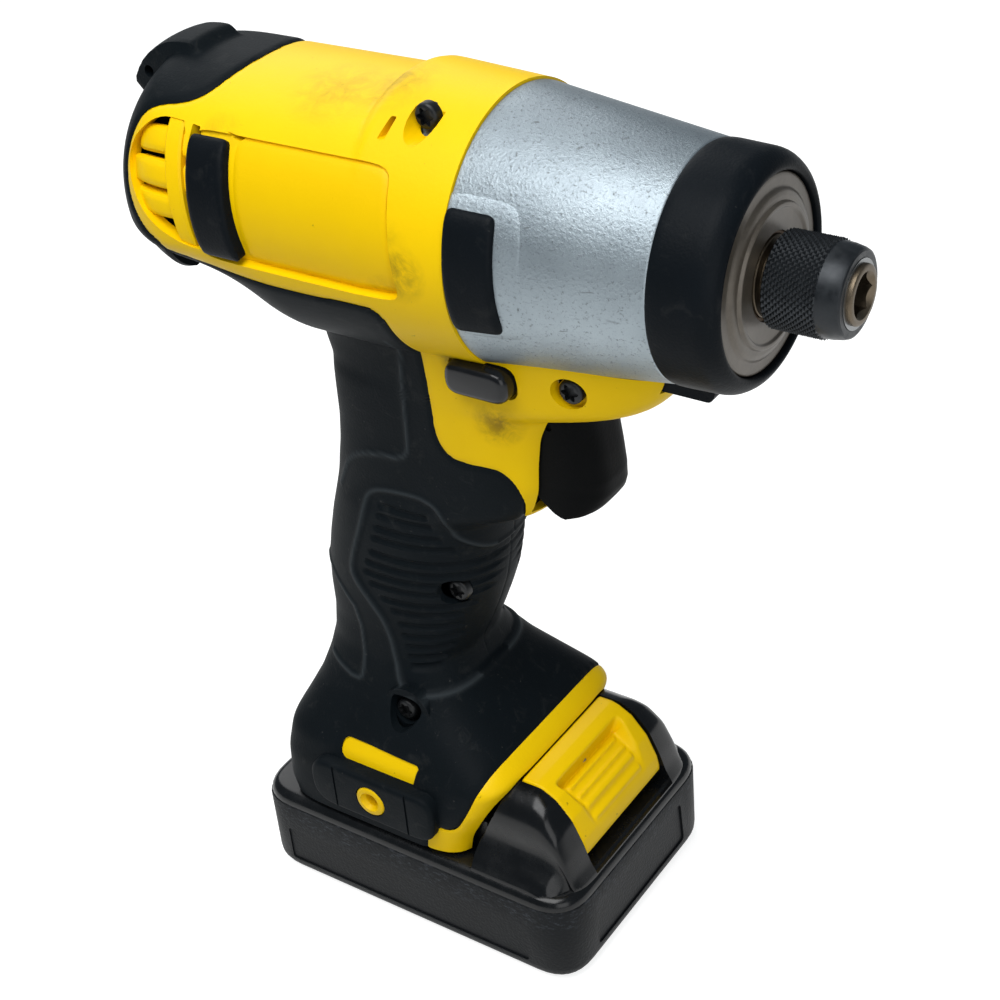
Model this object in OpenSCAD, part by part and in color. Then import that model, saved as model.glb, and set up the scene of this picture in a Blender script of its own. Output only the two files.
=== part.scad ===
// Cordless impact driver with a sliding battery pack, built the way the real tool is put together.
// Millimetres. +X is the way the bit points, +Z is up, and the origin is the middle of the pack's base.
// The tool's right half lies on -Y and its left half on +Y.

/* [Overall] */
// Height of the spindle axis above the base
spindle_z = 157.7; // [150:0.1:170]
// Forward distance of the split between housing and gear case
split_x = 24; // [20:0.5:28]

/* [Housing] */
// Radius of the motor housing at its sides
body_r = 26.6; // [25.5:0.1:29]
// Radius of the housing's front edge at the split
body_front_r = 25.6; // [25:0.1:28]
// Wall of the motor housing
body_wall = 2.8; // [2.4:0.1:3.4]
// Length of the motor housing from the split back to the rounded rear
body_l = 62; // [58:0.5:70]
// Length of the rounded rear end
dome_l = 22.5; // [19:0.5:28]
// Height of the rear crown above the spindle axis
crown_h = 24; // [23:0.1:26]
// Radius of the rear crown's arc
crown_r = 34; // [31:0.5:40]
// Length of the raised collar behind the split
collar_l = 19; // [14:0.5:24]
// Length of the slope that leads up to the collar
collar_slope_l = 5; // [3:0.5:8]
// Thickness of the ribs that hold the motor
rib_t = 2; // [1.5:0.1:3]

/* [Vents] */
// Length of a cooling slot
vent_l = 11; // [7:0.5:14]
// Height of a cooling slot
vent_h = 2.2; // [1.5:0.1:3]
// Spacing of the cooling slots
vent_step = 5.4; // [4.5:0.1:6.5]

/* [Grip] */
// Length of the grip's unit section, front to back
grip_l = 40; // [36:0.5:46]
// Width of the grip's unit section
grip_w = 32; // [30:0.5:37]
// Wall of the handle under the rubber
grip_wall = 2.4; // [2:0.1:3]
// Thickness of the rubber on the grip
rubber_t = 2; // [1.6:0.1:2.4]
// Thickness of the rubber on the motor housing
bumper_t = 1.3; // [1:0.1:1.6]
// Height of the ridge over the rear bumper
ridge_h = 2.8; // [2:0.1:4]
// Width of the ridge over the rear bumper
ridge_w = 11; // [8:0.5:16]

// Number of grooves across the palm
groove_count = 14; // [10:1:18]
// Half width of a groove across the palm
groove_r = 0.55; // [0.4:0.05:0.7]
// Depth of a groove across the palm
groove_d = 0.6; // [0.4:0.05:0.8]

/* [Side pads] */
// Length of a rear side pad along the tool
rear_pad_l = 9.2; // [8:0.1:12]
// Height that a rear side pad stands out
rear_pad_h = 1.6; // [1:0.1:2.5]
// Length of a front side pad along the tool
front_pad_l = 8.2; // [7:0.1:12]
// Height that a front side pad stands out
front_pad_h = 1.2; // [0.8:0.1:2]
// Depth that a pad or a plate is let in
pad_seat = 0.8; // [0.6:0.1:1]
// Length of the bare side plate
plate_l = 34.6; // [28:0.2:38]
// Thickness of the bare side plate
plate_sheet_t = 0.6; // [0.4:0.05:0.7]

/* [Gear case] */
// Length of the visible aluminium cone
cone_l = 36; // [33:0.5:42]
// Radius of the cone at the split
cone_back_r = 24.8; // [24:0.1:26]
// Radius of the cone at its front
cone_front_r = 20.7; // [19.5:0.1:22]
// Length of the skirt inside the housing
skirt_l = 22; // [21:0.5:24]
// Radius of the skirt inside the housing
skirt_r = 22.6; // [22.2:0.1:23.2]
// Wall of the skirt
skirt_wall = 2.2; // [1.8:0.1:2.6]
// Wall of the case's front end
case_front_t = 4.8; // [4:0.1:6]
// Radius of the nose boss
nose_r = 12; // [11.4:0.1:13]
// Length of the nose boss
nose_l = 11.5; // [10:0.5:14]
// Height of the flat under the case, below the spindle axis
case_flat = 21.4; // [21:0.1:22]

/* [Nose] */
// Radius of the rubber nose boot
boot_r = 20.3; // [19.6:0.1:22]
// Radius of the light window
window_r = 17; // [16:0.1:18]
// Thickness of the light window
window_t = 1.6; // [1:0.1:2]
// Depth of the light window below the boot's rim
window_sink = 0.8; // [0.4:0.1:1.5]
// Thickness of the light board
board_t = 1; // [0.8:0.1:1.6]
// Radius of a light-emitting diode
diode_r = 1.3; // [1:0.1:1.5]
// Height of a light-emitting diode
diode_h = 1.1; // [0.8:0.1:1.4]
// Width of the lead's cover under the nose
tab_w = 12; // [8:0.5:16]
// Height of the lead's cover under the nose
tab_h = 2.4; // [2:0.1:3]
// Length of the lead's cover under the nose
tab_l = 10; // [8:0.5:13]

/* [Gears] */
// Module of the gear teeth
gear_m = 0.7; // [0.68:0.01:0.72]
// Length of the ring gear
ring_w = 10; // [9:0.1:10.2]
// Length of a planet gear
planet_w = 7.4; // [6:0.1:7.4]
// Radius of a planet pin
pin_r = 2; // [1.8:0.1:2.4]
// Backlash at the teeth
backlash = 0.12; // [0.1:0.01:0.2]

/* [Impact drive] */
// Thickness of the carrier's rear flange
flange_t = 2; // [1.6:0.1:2.4]
// Thickness of the carrier's front flange
cam_flange_t = 3.2; // [2.8:0.1:3.6]
// Radius of the carrier's front flange
cam_flange_r = 15; // [14:0.1:16]
// Radius of the cam shaft
cam_r = 6; // [5.6:0.1:6.4]
// Radius of a cam ball
cam_ball_r = 2.4; // [2.2:0.1:2.5]
// Slope of the cam grooves in degrees
cam_angle = 55; // [45:1:65]
// Radius of the hammer
hammer_r = 17.6; // [17:0.1:18]
// Length of the hammer's body
hammer_l = 20; // [19:0.5:21]
// Distance from the split forward to the hammer's rear face
hammer_in = 2; // [1.5:0.1:2.5]
// Length of the hammer's jaws
jaw_l = 5.8; // [5:0.1:6]
// Width of the hammer's jaws
jaw_w = 10; // [9:0.5:12]
// Wire radius of the hammer spring
hammer_wire_r = 1.25; // [1:0.05:1.4]
// Mean radius of the hammer spring
hammer_coil_r = 12; // [11.8:0.1:12.2]
// Thickness of the spring's washer
washer_t = 1.4; // [1:0.1:1.6]

/* [Anvil] */
// Length of the anvil's wings along the axis
wing_t = 6.5; // [6:0.1:7]
// Width of the anvil's wings
wing_w = 9; // [8:0.5:10]
// Reach of the anvil's wings
wing_r = 15.2; // [14:0.1:16]
// Radius of the anvil in its bushing
anvil_r = 7; // [6.8:0.1:7.4]
// Radius of the anvil's front end
neck_r = 5.13; // [5.05:0.01:5.2]
// Length of the anvil ahead of the nose
anvil_out = 16.5; // [16:0.5:19]
// Width across the flats of the hexagon socket
socket_af = 6.45; // [6.38:0.01:6.5]
// Depth of the hexagon socket
socket_l = 21; // [18:0.5:23]
// Wall of the anvil's bushing
bushing_wall = 2.4; // [2:0.1:2.8]

/* [Bit sleeve] */
// Radius of the sleeve's grip
sleeve_r = 8.4; // [8.2:0.1:9]
// Radius of the sleeve's front edge
sleeve_front_r = 7.3; // [7.2:0.1:7.8]
// Length of the sleeve
sleeve_l = 13.4; // [13:0.1:14]
// Length of the sleeve's knurled band
knurl_l = 8.6; // [6:0.1:9]
// Forward travel of the sleeve
sleeve_travel = 3.4; // [3:0.1:3.6]
// Radius of a detent ball
detent_r = 1.6; // [1.5:0.05:1.65]
// Wire radius of the sleeve spring
sleeve_wire_r = 0.25; // [0.2:0.05:0.3]
// Thickness of the sleeve's washer
sleeve_washer_t = 0.5; // [0.4:0.1:0.6]

/* [Motor] */
// Radius of the motor can
can_r = 18; // [17:0.1:18.4]
// Wall of the motor can
can_wall = 1.4; // [1.2:0.1:1.6]
// Length of the motor can
can_l = 38; // [36:0.5:39]
// Length of the motor's end cap
cap_l = 9; // [8:0.5:10]
// Radius of the motor shaft
shaft_r = 1.6; // [1.5:0.05:1.7]
// Radius of the armature
armature_r = 11; // [10:0.1:11.4]
// Length of the armature's iron
armature_l = 23; // [20:0.5:24]
// Thickness of the magnets
magnet_t = 4.2; // [3.5:0.1:4.4]
// Radius of the commutator
commutator_r = 5; // [4.5:0.1:5.4]
// Length of the commutator
commutator_l = 6; // [5:0.5:6.5]
// Radius of the cooling fan
fan_r = 14; // [12:0.1:14.6]
// Length of the cooling fan
fan_l = 4; // [3:0.1:4.4]
// Thickness of the plate between motor and gears
plate_t = 5; // [4.6:0.1:5.6]
// Radius of the carrier's bearing
bearing_r = 11; // [10.5:0.1:11.5]
// Width of the carrier's bearing
bearing_w = 3; // [2.6:0.1:3.2]
// Radius of the carrier's hub
hub_r = 7; // [6.6:0.1:7.4]

/* [Switch] */
// Length of the switch body
switch_l = 25; // [22:0.5:26]
// Width of the switch body
switch_w = 17; // [15:0.5:18]
// Height of the switch body
switch_h = 26; // [24:0.5:27]
// Width of the trigger
trigger_w = 17; // [15:0.5:17.5]
// Depth of the trigger, front to back
trigger_d = 14.8; // [13:0.1:16]
// Height of the trigger
trigger_h = 23.6; // [21:0.1:24]
// Backward travel of the trigger
trigger_travel = 6; // [4:0.5:6.5]
// Wire radius of the trigger spring
trigger_wire_r = 0.4; // [0.3:0.05:0.5]
// Length of the direction bar's heads
bar_l = 13.4; // [11:0.2:14]
// Height of the direction bar's heads
bar_h = 6.6; // [5.6:0.2:7]
// Width of the direction bar, end to end
bar_w = 37.6; // [36:0.2:39]
// Depth of a direction bar's head
bar_head_d = 5.4; // [4.8:0.1:5.6]
// Travel of the direction bar each way
bar_travel = 2.5; // [2:0.1:2.6]

/* [Foot] */
// Radius of a belt hook socket
socket_r = 3.6; // [3:0.1:4]
// Radius of a belt hook socket's threaded hole
hook_hole_r = 1.65; // [1.4:0.05:2]
// Depth of a belt hook socket's threaded hole
hook_hole_l = 6.6; // [5:0.1:7]
// Distance across the two belt hook faces
hook_face_w = 59.6; // [58.6:0.1:64]
// Length of a belt hook boss
hook_boss_l = 31; // [26:0.5:34]
// Height of a belt hook boss
hook_boss_h = 11.4; // [9:0.2:13]
// Height of the belt hook screw above the base
hook_z = 32.3; // [30:0.1:33]
// Thickness of a contact blade
blade_t = 0.8; // [0.6:0.1:1]

/* [Battery] */
// Length of the battery pack
pack_l = 81.4; // [79:0.2:88]
// Width of the battery pack
pack_w = 57.4; // [57:0.1:62]
// Height of the lower tray
tray_h = 19.6; // [19.4:0.1:22]
// Wall of the battery cases
pack_wall = 1.5; // [1.2:0.1:1.8]
// Radius of the pack's upright corners
pack_corner_r = 9; // [7:0.5:10]
// Radius of a cell
cell_r = 9; // [8.9:0.05:9.05]
// Length of a cell
cell_l = 65; // [63:0.5:66]
// Thickness of the pack's deck
deck_t = 2.6; // [2.2:0.1:3]
// Height of the hood above the base
hood_h = 40; // [39:0.1:41]
// Width of the hood
hood_w = 45; // [43:0.5:47]
// Rounding of the hood's upper edges
hood_round = 7; // [5:0.5:8]
// Width of the release latch
latch_w = 30; // [27:0.5:31]
// Downward travel of the release latch
latch_travel = 3; // [2:0.1:3.2]
// Wall of the release latch
latch_wall = 2.4; // [2:0.1:3]
// Wire radius of the latch spring
latch_wire_r = 0.4; // [0.3:0.05:0.5]

/* [Screws] */
// Radius of a housing screw's shank
screw_r = 1.5; // [1.3:0.1:1.7]
// Radius of a housing screw's head
screw_head_r = 2.9; // [2.6:0.1:3.2]
// Height of a housing screw's head
screw_head_h = 2.4; // [2:0.1:2.8]
// Length of a housing screw's shank
screw_l = 16; // [14:0.5:18]
// Radius of a pack screw
pack_screw_r = 1.3; // [1.1:0.1:1.5]

/* [Fits] */
// Running clearance on a radius
run_fit = 0.05; // [0.03:0.01:0.08]
// Clearance between fixed pieces
seat_fit = 0.1; // [0.05:0.01:0.15]
// Clearance round a sliding piece
slide_fit = 0.35; // [0.25:0.05:0.45]
// Gap between stacked turning pieces
turn_gap = 0.2; // [0.15:0.01:0.3]
// Distance that a cut runs past a face
past = 1; // [0.5:0.1:2]

/* [Hidden] */
fine = 72;
coarse = 32;
shell_sides = 40;
recess_sides = 16;
far = spindle_z * 2;

// Places along the spindle, from the split
dome_x = split_x - body_l;
rear_x = dome_x - dome_l;
skirt_x = split_x - skirt_l;
plate_x = skirt_x - plate_t;
cone_x = split_x + cone_l;
nose_x = cone_x + nose_l;
tip_x = nose_x + anvil_out;
collar_x = split_x - collar_l;

// Sizes of the drive that follow from its neighbours
sun_teeth = 10;
planet_teeth = 20;
ring_teeth = sun_teeth + 2 * planet_teeth;
pressure_angle = 25;
head_share = 0.9;
root_share = 1.1;
planet_reach = gear_m * (sun_teeth + planet_teeth) / 2;
ring_r = skirt_r - skirt_wall;
flange_x = skirt_x + 3 * turn_gap;
planet_x = flange_x + flange_t + turn_gap;
cam_flange_x = planet_x + planet_w + turn_gap;
washer_x = cam_flange_x + cam_flange_t;
spring_x = washer_x + washer_t;
hammer_x = split_x + hammer_in;
hammer_front_x = hammer_x + hammer_l;
anvil_x = hammer_front_x + 5 * turn_gap;
wing_front_x = anvil_x + wing_t;
case_inner_x = cone_x - case_front_t;
bushing_x = case_inner_x;
bushing_r = anvil_r + run_fit + bushing_wall;
hammer_bore_r = hammer_r + slide_fit;
spring_pocket_l = hammer_l * 0.7;
cam_front_x = anvil_x - turn_gap;
pilot_r = cam_r * 0.58;
pilot_l = wing_t * 0.8;
ball_x = hammer_x + hammer_l / 2;
ball_reach = cam_r + cam_ball_r * 0.25;
carrier_r = cam_flange_r * 0.86;

// Sizes of the bit sleeve that follow from its neighbours
sleeve_x = nose_x + anvil_out - sleeve_l - sleeve_washer_t * 2;
sleeve_ramp_share = 0.16;
detent_x = sleeve_x + sleeve_travel + detent_r * 1.2;
detent_reach = neck_r + slide_fit - detent_r + run_fit;
land_r = detent_reach + detent_r + run_fit;
ramp_r = land_r + sleeve_ramp_share * (detent_x - sleeve_x);
land_front_x = detent_x + detent_r * 1.4;
ring_x = tip_x - sleeve_washer_t * 2.8;
ring_groove_r = neck_r * 0.92;
spring_room_r = sleeve_front_r - sleeve_washer_t * 1.2;

// Angles round the spindle, counted down from the top, where the pads and the plate begin and end
rear_pad_span = [53, 101];
plate_span = [51, 102];
front_pad_span = [61, 107];
span_fit = 0.7;

// Places of the pads, the plate, the switch and the foot's pieces
rear_pad_x = dome_x + rear_pad_l * 0.75;
plate_x0 = rear_pad_x + rear_pad_l + seat_fit * 6;
front_pad_x = split_x + front_pad_l * 0.15;
trigger_x = grip_l * 0.635;
trigger_z = spindle_z * 0.6545;
switch_x = trigger_x - trigger_travel * 1.5 - switch_l;
bar_x = grip_l * 0.405;
bar_z = spindle_z * 0.8325;
switch_z = bar_z - turn_gap - switch_h;
throat_z = spindle_z * 0.79;
stem_w = switch_w * 0.35;
stem_h = switch_h * 0.3;
stem_l = trigger_travel * 2;
stem_z = trigger_z + trigger_h * 0.55;
tab_z = spindle_z - case_flat - tab_h - seat_fit;
tab_x = cone_x - tab_l * 0.35;
hook_x = -grip_l * 0.17;
deck_z = tray_h + deck_t;
rail_z = deck_z + slide_fit * 6;
rail_top_z = rail_z + grip_wall;
flange_z = rail_top_z + slide_fit;
flange_top_z = flange_z + grip_wall * 1.4;
shelf_z = spindle_z * 0.266;
terminal_z = flange_top_z + slide_fit;
terminal_x = -grip_l * 0.56;
terminal_l = grip_l * 0.4;
blade_x = terminal_x + terminal_l;
blade_l = grip_l * 0.34;
cell_pitch = 2 * cell_r + seat_fit;
cell_z = pack_wall + cell_r;

// Sizes of the nose that follow from its neighbours
boot_front_x = nose_x + seat_fit * 4;
window_x = boot_front_x - window_sink - window_t;
board_x = window_x - turn_gap - diode_h - board_t;
diode_reach = (nose_r + window_r) / 2;

// Sizes of the motor that follow from its neighbours
can_x = plate_x - can_l;
cap_x = can_x - cap_l;
can_boss_r = shaft_r * 3;
can_boss_l = plate_t - bearing_w - turn_gap;
armature_x = can_x + can_l * 0.12;
fan_x = plate_x - can_wall - turn_gap * 5 - fan_l;
commutator_x = can_x - commutator_l - turn_gap * 2;
cap_bore_r = can_r - can_wall * 2;
magnet_span = [30, 150];

// Heights and outlines of the handle, as shares of the spindle height and the grip's unit section
// Each row: height, rear, front, half width, squareness
grip_shares = [[0.146, -0.84, 0.37, 0.853, 7], [0.171, -0.865, 0.39, 0.86, 7],
  [0.216, -0.87, 0.495, 0.853, 6.5], [0.254, -0.855, 0.575, 0.81, 6], [0.266, -0.84, 0.55, 0.77, 5.5],
  [0.285, -0.805, 0.445, 0.715, 4.8], [0.317, -0.75, 0.28, 0.615, 4], [0.349, -0.72, 0.165, 0.545, 3.2],
  [0.38, -0.708, 0.13, 0.50, 2.6], [0.418, -0.71, 0.205, 0.49, 2.4], [0.457, -0.72, 0.273, 0.50, 2.3],
  [0.495, -0.708, 0.328, 0.51, 2.3], [0.533, -0.675, 0.36, 0.512, 2.3], [0.571, -0.635, 0.38, 0.51, 2.3],
  [0.612, -0.58, 0.41, 0.497, 2.4], [0.6295, -0.558, 0.56, 0.487, 2.6], [0.641, -0.545, 0.67, 0.478, 2.8],
  [0.656, -0.53, 0.715, 0.469, 3], [0.685, -0.50, 0.748, 0.463, 3.2], [0.723, -0.48, 0.758, 0.457, 3.3],
  [0.761, -0.475, 0.78, 0.463, 3.3], [0.793, -0.48, 0.845, 0.469, 3.1], [0.805, -0.495, 1.12, 0.475, 2.8],
  [0.818, -0.525, 1.275, 0.481, 2.7], [0.837, -0.60, 1.35, 0.488, 2.6], [0.862, -0.775, 1.40, 0.50, 2.6],
  [0.894, -0.90, 1.425, 0.525, 2.6], [0.932, -0.95, 1.438, 0.562, 2.6]];
stations = [for (s = grip_shares)
  [s[0] * spindle_z, s[1] * grip_l, s[2] * grip_l, s[3] * grip_w, s[4]]];
grip_points = 12;
foot = stations[0];
below_foot = [foot[0] - past, foot[1], foot[2], foot[3], foot[4]];

// Where the yellow shows through the rubber: trigger housing, foot band and foot slot
// Each pair: shares of the grip's unit length and of the spindle height
trigger_window_shares = [[0.24, 0.97], [0.25, 0.79], [0.245, 0.755], [0.29, 0.729], [0.375, 0.7215],
  [0.54, 0.722], [0.60, 0.713], [0.64, 0.694], [0.655, 0.668], [0.62, 0.643], [0.535, 0.622],
  [1.6, 0.62], [1.6, 0.97]];
band_shares = [[1.0, 0.281], [0.49, 0.281], [0.4675, 0.2746], [0.445, 0.26], [0.405, 0.234], [0.3525, 0.206],
  [0.315, 0.193], [0.27, 0.189], [0.2275, 0.191], [0.205, 0.1845], [0.1325, 0.167], [0.1325, 0.12], [1.0, 0.12]];
slot_shares = [[-0.3475, 0.2555], [0.02, 0.2535]];
slot_r_share = 0.0148;

// Rear ends of the palm grooves: shares of the spindle height and of the grip's unit length
palm_shares = [[0.371, -0.104], [0.435, -0.113], [0.467, -0.19], [0.512, -0.31], [0.547, -0.27], [0.60, -0.18],
  [0.64, -0.09]];

// The edge of the rear rubber: shares of the grip's unit length and of the spindle height
bumper_shares = [[-0.60, 1.3], [-0.66, 1.166], [-0.74, 1.154], [-0.785, 1.144], [-0.83, 1.131],
  [-0.92, 1.123], [-1.07, 1.118], [-1.165, 1.104], [-1.22, 1.078], [-1.235, 1.046], [-1.205, 1.014],
  [-1.14, 0.989], [-1.05, 0.973], [-1.0, 0.97], [-1.0, 0.7], [-2.0, 0.7], [-2.0, 1.3]];
under_shares = [[-1.0, 0.97], [-0.9, 0.968], [-0.75, 0.963], [0.2, 0.954], [0.24, 0.92], [0.24, 0.7],
  [-1.0, 0.7]];

function place(p) = [p[0] * grip_l, p[1] * spindle_z];
function rise(v, e) = sign(v) * pow(abs(v), e);

// Half of a section, from the rear round the right side to the front
function half_ring(s, inset) = let (mid = (s[1] + s[2]) / 2, a = (s[2] - s[1]) / 2 - inset, b = s[3] - inset)
  [for (i = [0:grip_points]) let (t = 180 * i / grip_points)
    [mid - a * rise(cos(t), 2 / s[4]), i == 0 || i == grip_points ? 0 : -b * rise(sin(t), 2 / s[4]), s[0]]];
function turned(list) = [for (i = [len(list) - 1:-1:0]) list[i]];
function shell_ring(s, outer, inner) = concat(half_ring(s, outer), turned(half_ring(s, inner)));

// A solid through rings that hold the same number of points
module loft(rings) {
  m = len(rings[0]);
  n = len(rings);
  polyhedron(
    points = [for (r = rings, p = r) p],
    faces = concat([[for (j = [0:m - 1]) j]], [[for (j = [m - 1:-1:0]) (n - 1) * m + j]],
      [for (k = [0:n - 2], j = [0:m - 1]) let (q = (j + 1) % m) [k * m + j, (k + 1) * m + j, (k + 1) * m + q]],
      [for (k = [0:n - 2], j = [0:m - 1]) let (q = (j + 1) % m) [k * m + j, (k + 1) * m + q, k * m + q]]));
}

// A round wire wound into a spring along Z, closed at both ends
module coil(mean_r, wire_r, length, turns) {
  sides = 6;
  steps = round(turns * 12);
  climb = length - 2 * wire_r;
  loft([for (i = [0:steps]) let (a = 360 * turns * i / steps, z = wire_r + climb * i / steps)
    [for (j = [0:sides - 1]) let (b = -360 * j / sides, r = mean_r + wire_r * cos(b))
      [r * cos(a), r * sin(a), z + wire_r * sin(b)]]]);
}

// A turned shape about the spindle axis from pairs of place and radius
module spindle_turn(pairs, sides = fine) {
  translate([0, 0, spindle_z]) rotate([0, 90, 0])
    rotate_extrude($fn = sides) polygon([for (p = pairs) [p[1], p[0]]]);
}

// A round bar along the spindle axis, or beside it
module spindle_bar(x, l, r, y = 0, z = 0, sides = fine) {
  translate([x, y, spindle_z + z]) rotate([0, 90, 0]) cylinder(h = l, r = r, $fn = sides);
}

// A round tube along the spindle axis
module spindle_tube(x, l, r, bore, sides = fine) {
  difference() {
    spindle_bar(x, l, r, 0, 0, sides);
    spindle_bar(x - past, l + 2 * past, bore, 0, 0, sides);
  }
}

// An outline in the side view, made solid across the tool from one y to another
module side_slab(pts, y0, y1) {
  translate([0, y1, 0]) rotate([90, 0, 0]) linear_extrude(y1 - y0) polygon(pts);
}

// A bar across the tool
module cross_bar(x, z, y0, y1, r, sides = coarse) {
  translate([x, y0, z]) rotate([-90, 0, 0]) cylinder(h = y1 - y0, r = r, $fn = sides);
}

// A block between two corners
module block(a, b) {
  translate(a) cube(b - a);
}

// The right half of what is given, or its mirror image
module right_half() {
  intersection() {
    children();
    block([-far, -far, -far], [far, 0, far]);
  }
}
module left_of() {
  mirror([0, 1, 0]) children();
}

// The motor housing's outer form, drawn in by a depth
module body_form(inset, front = 0) {
  intersection() {
    spindle_turn(concat(
      [for (i = [0:9]) let (t = 10 * i)
        [dome_x - (dome_l - inset) * cos(t), (body_r - inset) * sin(t)]],
      [[collar_x, body_r - inset], [split_x + front, body_front_r - inset], [split_x + front, 0]]), shell_sides);
    union() {
      translate([rear_x - ridge_h * 2, 0, spindle_z + crown_h - crown_r]) rotate([0, 90, 0])
        cylinder(h = collar_x - rear_x + ridge_h * 2, r = crown_r - inset, $fn = shell_sides);
      spindle_turn([[collar_x - collar_slope_l, 0], [collar_x - collar_slope_l, crown_h * 0.98 - inset],
        [collar_x, body_r + past - inset], [split_x + far, body_r + past - inset], [split_x + far, 0]], shell_sides);
    }
  }
}

// The places where the yellow housing comes up through the rubber
module yellow_windows() {
  side_slab([for (p = trigger_window_shares) place(p)], -far, past);
  side_slab([for (p = band_shares) place(p)], -far, past);
  hull() for (p = slot_shares) let (c = place(p)) cross_bar(c[0], c[1], -far, 0, slot_r_share * spindle_z, recess_sides);
}

// Clamshell screws: place along the tool and height, then depth of the head from the middle plane
screw_places = [[split_x - collar_l * 0.53, spindle_z + body_r * 0.866, body_r * 0.40],
  [split_x + cone_l * 0.435, spindle_z * 0.8535, grip_w * 0.365],
  [grip_l * 0.20, spindle_z * 0.506, grip_w * 0.28],
  [-grip_l * 0.09, spindle_z * 0.316, grip_w * 0.50],
  [-grip_l * 0.55, spindle_z * 0.856, grip_w * 0.25]];
screw_boss_r = screw_head_r + grip_wall * 0.6;
vent_x = dome_x + vent_l * 0.2;

// Room for the gear case's cone, the skirt and the plate
module case_room() {
  spindle_turn([[split_x - past, 0], [split_x - past, cone_back_r + seat_fit], [split_x, cone_back_r + seat_fit],
    [cone_x, cone_front_r + seat_fit], [cone_x + far, cone_front_r + seat_fit], [cone_x + far, 0]], shell_sides);
}

// The handle's own half shell with the rubber's seat cut away
module handle_half() {
  difference() {
    loft([for (s = stations) shell_ring(s, 0, rubber_t + grip_wall)]);
    difference() {
      loft([for (s = concat([below_foot], stations)) shell_ring(s, -past, rubber_t)]);
      yellow_windows();
    }
    body_form(body_wall * 0.9, past);
  }
}

// Opening that the trigger moves in
module trigger_opening() {
  block([grip_l * 0.3, -trigger_w / 2 - slide_fit, trigger_z - slide_fit],
    [grip_l * 1.1, past, trigger_z + trigger_h + slide_fit]);
}

// One half of the yellow housing, right side, as moulded
module housing_half(headed) {
  difference() {
    union() {
      right_half() difference() {
        body_form(0);
        body_form(body_wall, past);
        difference() {
          union() {
            side_slab([for (p = bumper_shares) place(p)], -far, far);
            side_slab([for (p = under_shares) place(p)], -far, far);
          }
          body_form(bumper_t, past);
        }
      }
      handle_half();
      // Ribs that carry the motor, the plate and the gear case's skirt
      right_half() intersection() {
        body_form(body_wall * 0.5);
        union() {
          for (s = [0.25, 0.75]) spindle_tube(plate_x - can_l * s - rib_t / 2, rib_t, body_r, can_r + seat_fit,
            shell_sides);
          spindle_tube(plate_x, plate_t, body_r, skirt_r + seat_fit, shell_sides);
          spindle_tube(split_x - skirt_l * 0.3, skirt_l * 0.25, body_r, skirt_r + seat_fit, shell_sides);
        }
      }
      // Bosses for the clamshell screws
      intersection() {
        union() {
          for (p = screw_places) hull() for (k = [0, 1])
            cross_bar(p[0] - k * screw_boss_r * 0.2, p[1], -p[2] - screw_head_h * 0.5, 0, screw_boss_r, recess_sides);
        }
        union() {
          difference() {
            body_form(body_wall * 0.5);
            spindle_bar(plate_x - can_l - cap_l, can_l + cap_l, can_r + slide_fit, 0, 0, shell_sides);
            spindle_bar(plate_x, split_x - plate_x + past, skirt_r + seat_fit, 0, 0, shell_sides);
          }
          difference() {
            loft([for (s = stations) half_ring(s, rubber_t + grip_wall * 0.5)]);
            body_form(0, past);
            case_room();
          }
        }
      }
      // Ribs that hold the switch
      intersection() {
        for (s = [0.2, 0.72]) block([switch_x + switch_l * s, -grip_w / 2, switch_z],
          [switch_x + switch_l * s + rib_t, -switch_w / 2 - seat_fit, throat_z]);
        loft([for (s = stations) half_ring(s, rubber_t + grip_wall * 0.5)]);
      }
      // Rails under the foot and the shelf over the terminal block
      block([-grip_l * 0.7, -grip_w * 0.78, rail_z], [grip_l * 0.25, -grip_w * 0.53, rail_top_z]);
      intersection() {
        block([terminal_x, -grip_w, shelf_z], [blade_x, 0, shelf_z + grip_wall]);
        loft([for (s = stations) half_ring(s, rubber_t + grip_wall * 0.5)]);
      }
    }
    case_room();
    // Seat for the gear plate and the case's skirt
    spindle_bar(plate_x - seat_fit, split_x - plate_x + past, skirt_r + seat_fit, 0, 0, shell_sides);
    // Throat from the handle up into the body
    block([-grip_l * 0.3, -grip_w * 0.39, throat_z], [grip_l * 0.84, past, spindle_z * 0.875]);
    trigger_opening();
    // Slot for the direction bar
    bar_head(-far, -grip_w * 0.3, slide_fit, recess_sides);
    // Notch for the cover of the light's lead
    block([tab_x - slide_fit, -tab_w / 2 - slide_fit, tab_z - slide_fit],
      [tab_x + far, past, spindle_z]);
    // Arch at the foot's front that the pack's hood goes through
    block([grip_l * 0.1, -hood_w / 2 + slide_fit, 0], [grip_l, past, hood_h - grip_wall - slide_fit]);
    cross_bar(hook_x, hook_z, -far, -grip_w * 0.4, socket_r + seat_fit);
    for (i = [-1.5:1:1.5]) hull() for (k = [0, 1])
      cross_bar(vent_x - k * (vent_l - vent_h), spindle_z + vent_h * 2 + i * vent_step, -far, -can_r * 0.6, vent_h / 2,
        recess_sides);
    // Seats for the pads and the plate
    spindle_arc(rear_pad_x, rear_pad_l, body_r - pad_seat, body_r + far, rear_pad_span);
    spindle_arc(plate_x0, plate_l, body_r - pad_seat, body_r + far, plate_span);
    for (p = screw_places) {
      if (headed) hull() for (k = [0, 1])
        cross_bar(p[0] - k * screw_head_r * 0.8, p[1] - k * screw_head_r * 0.3, -far, -p[2],
          screw_head_r + seat_fit * 3, recess_sides);
      cross_bar(p[0], p[1], headed ? -far : -screw_l + p[2] - past, past, screw_r + seat_fit, recess_sides);
    }
    hull() for (k = [0, 1])
      cross_bar(split_x - collar_l * 0.84, spindle_z + body_r * (0.80 + k * 0.06), -far, -body_r * 0.55, vent_h * 0.4,
        recess_sides);
  }
}

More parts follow.
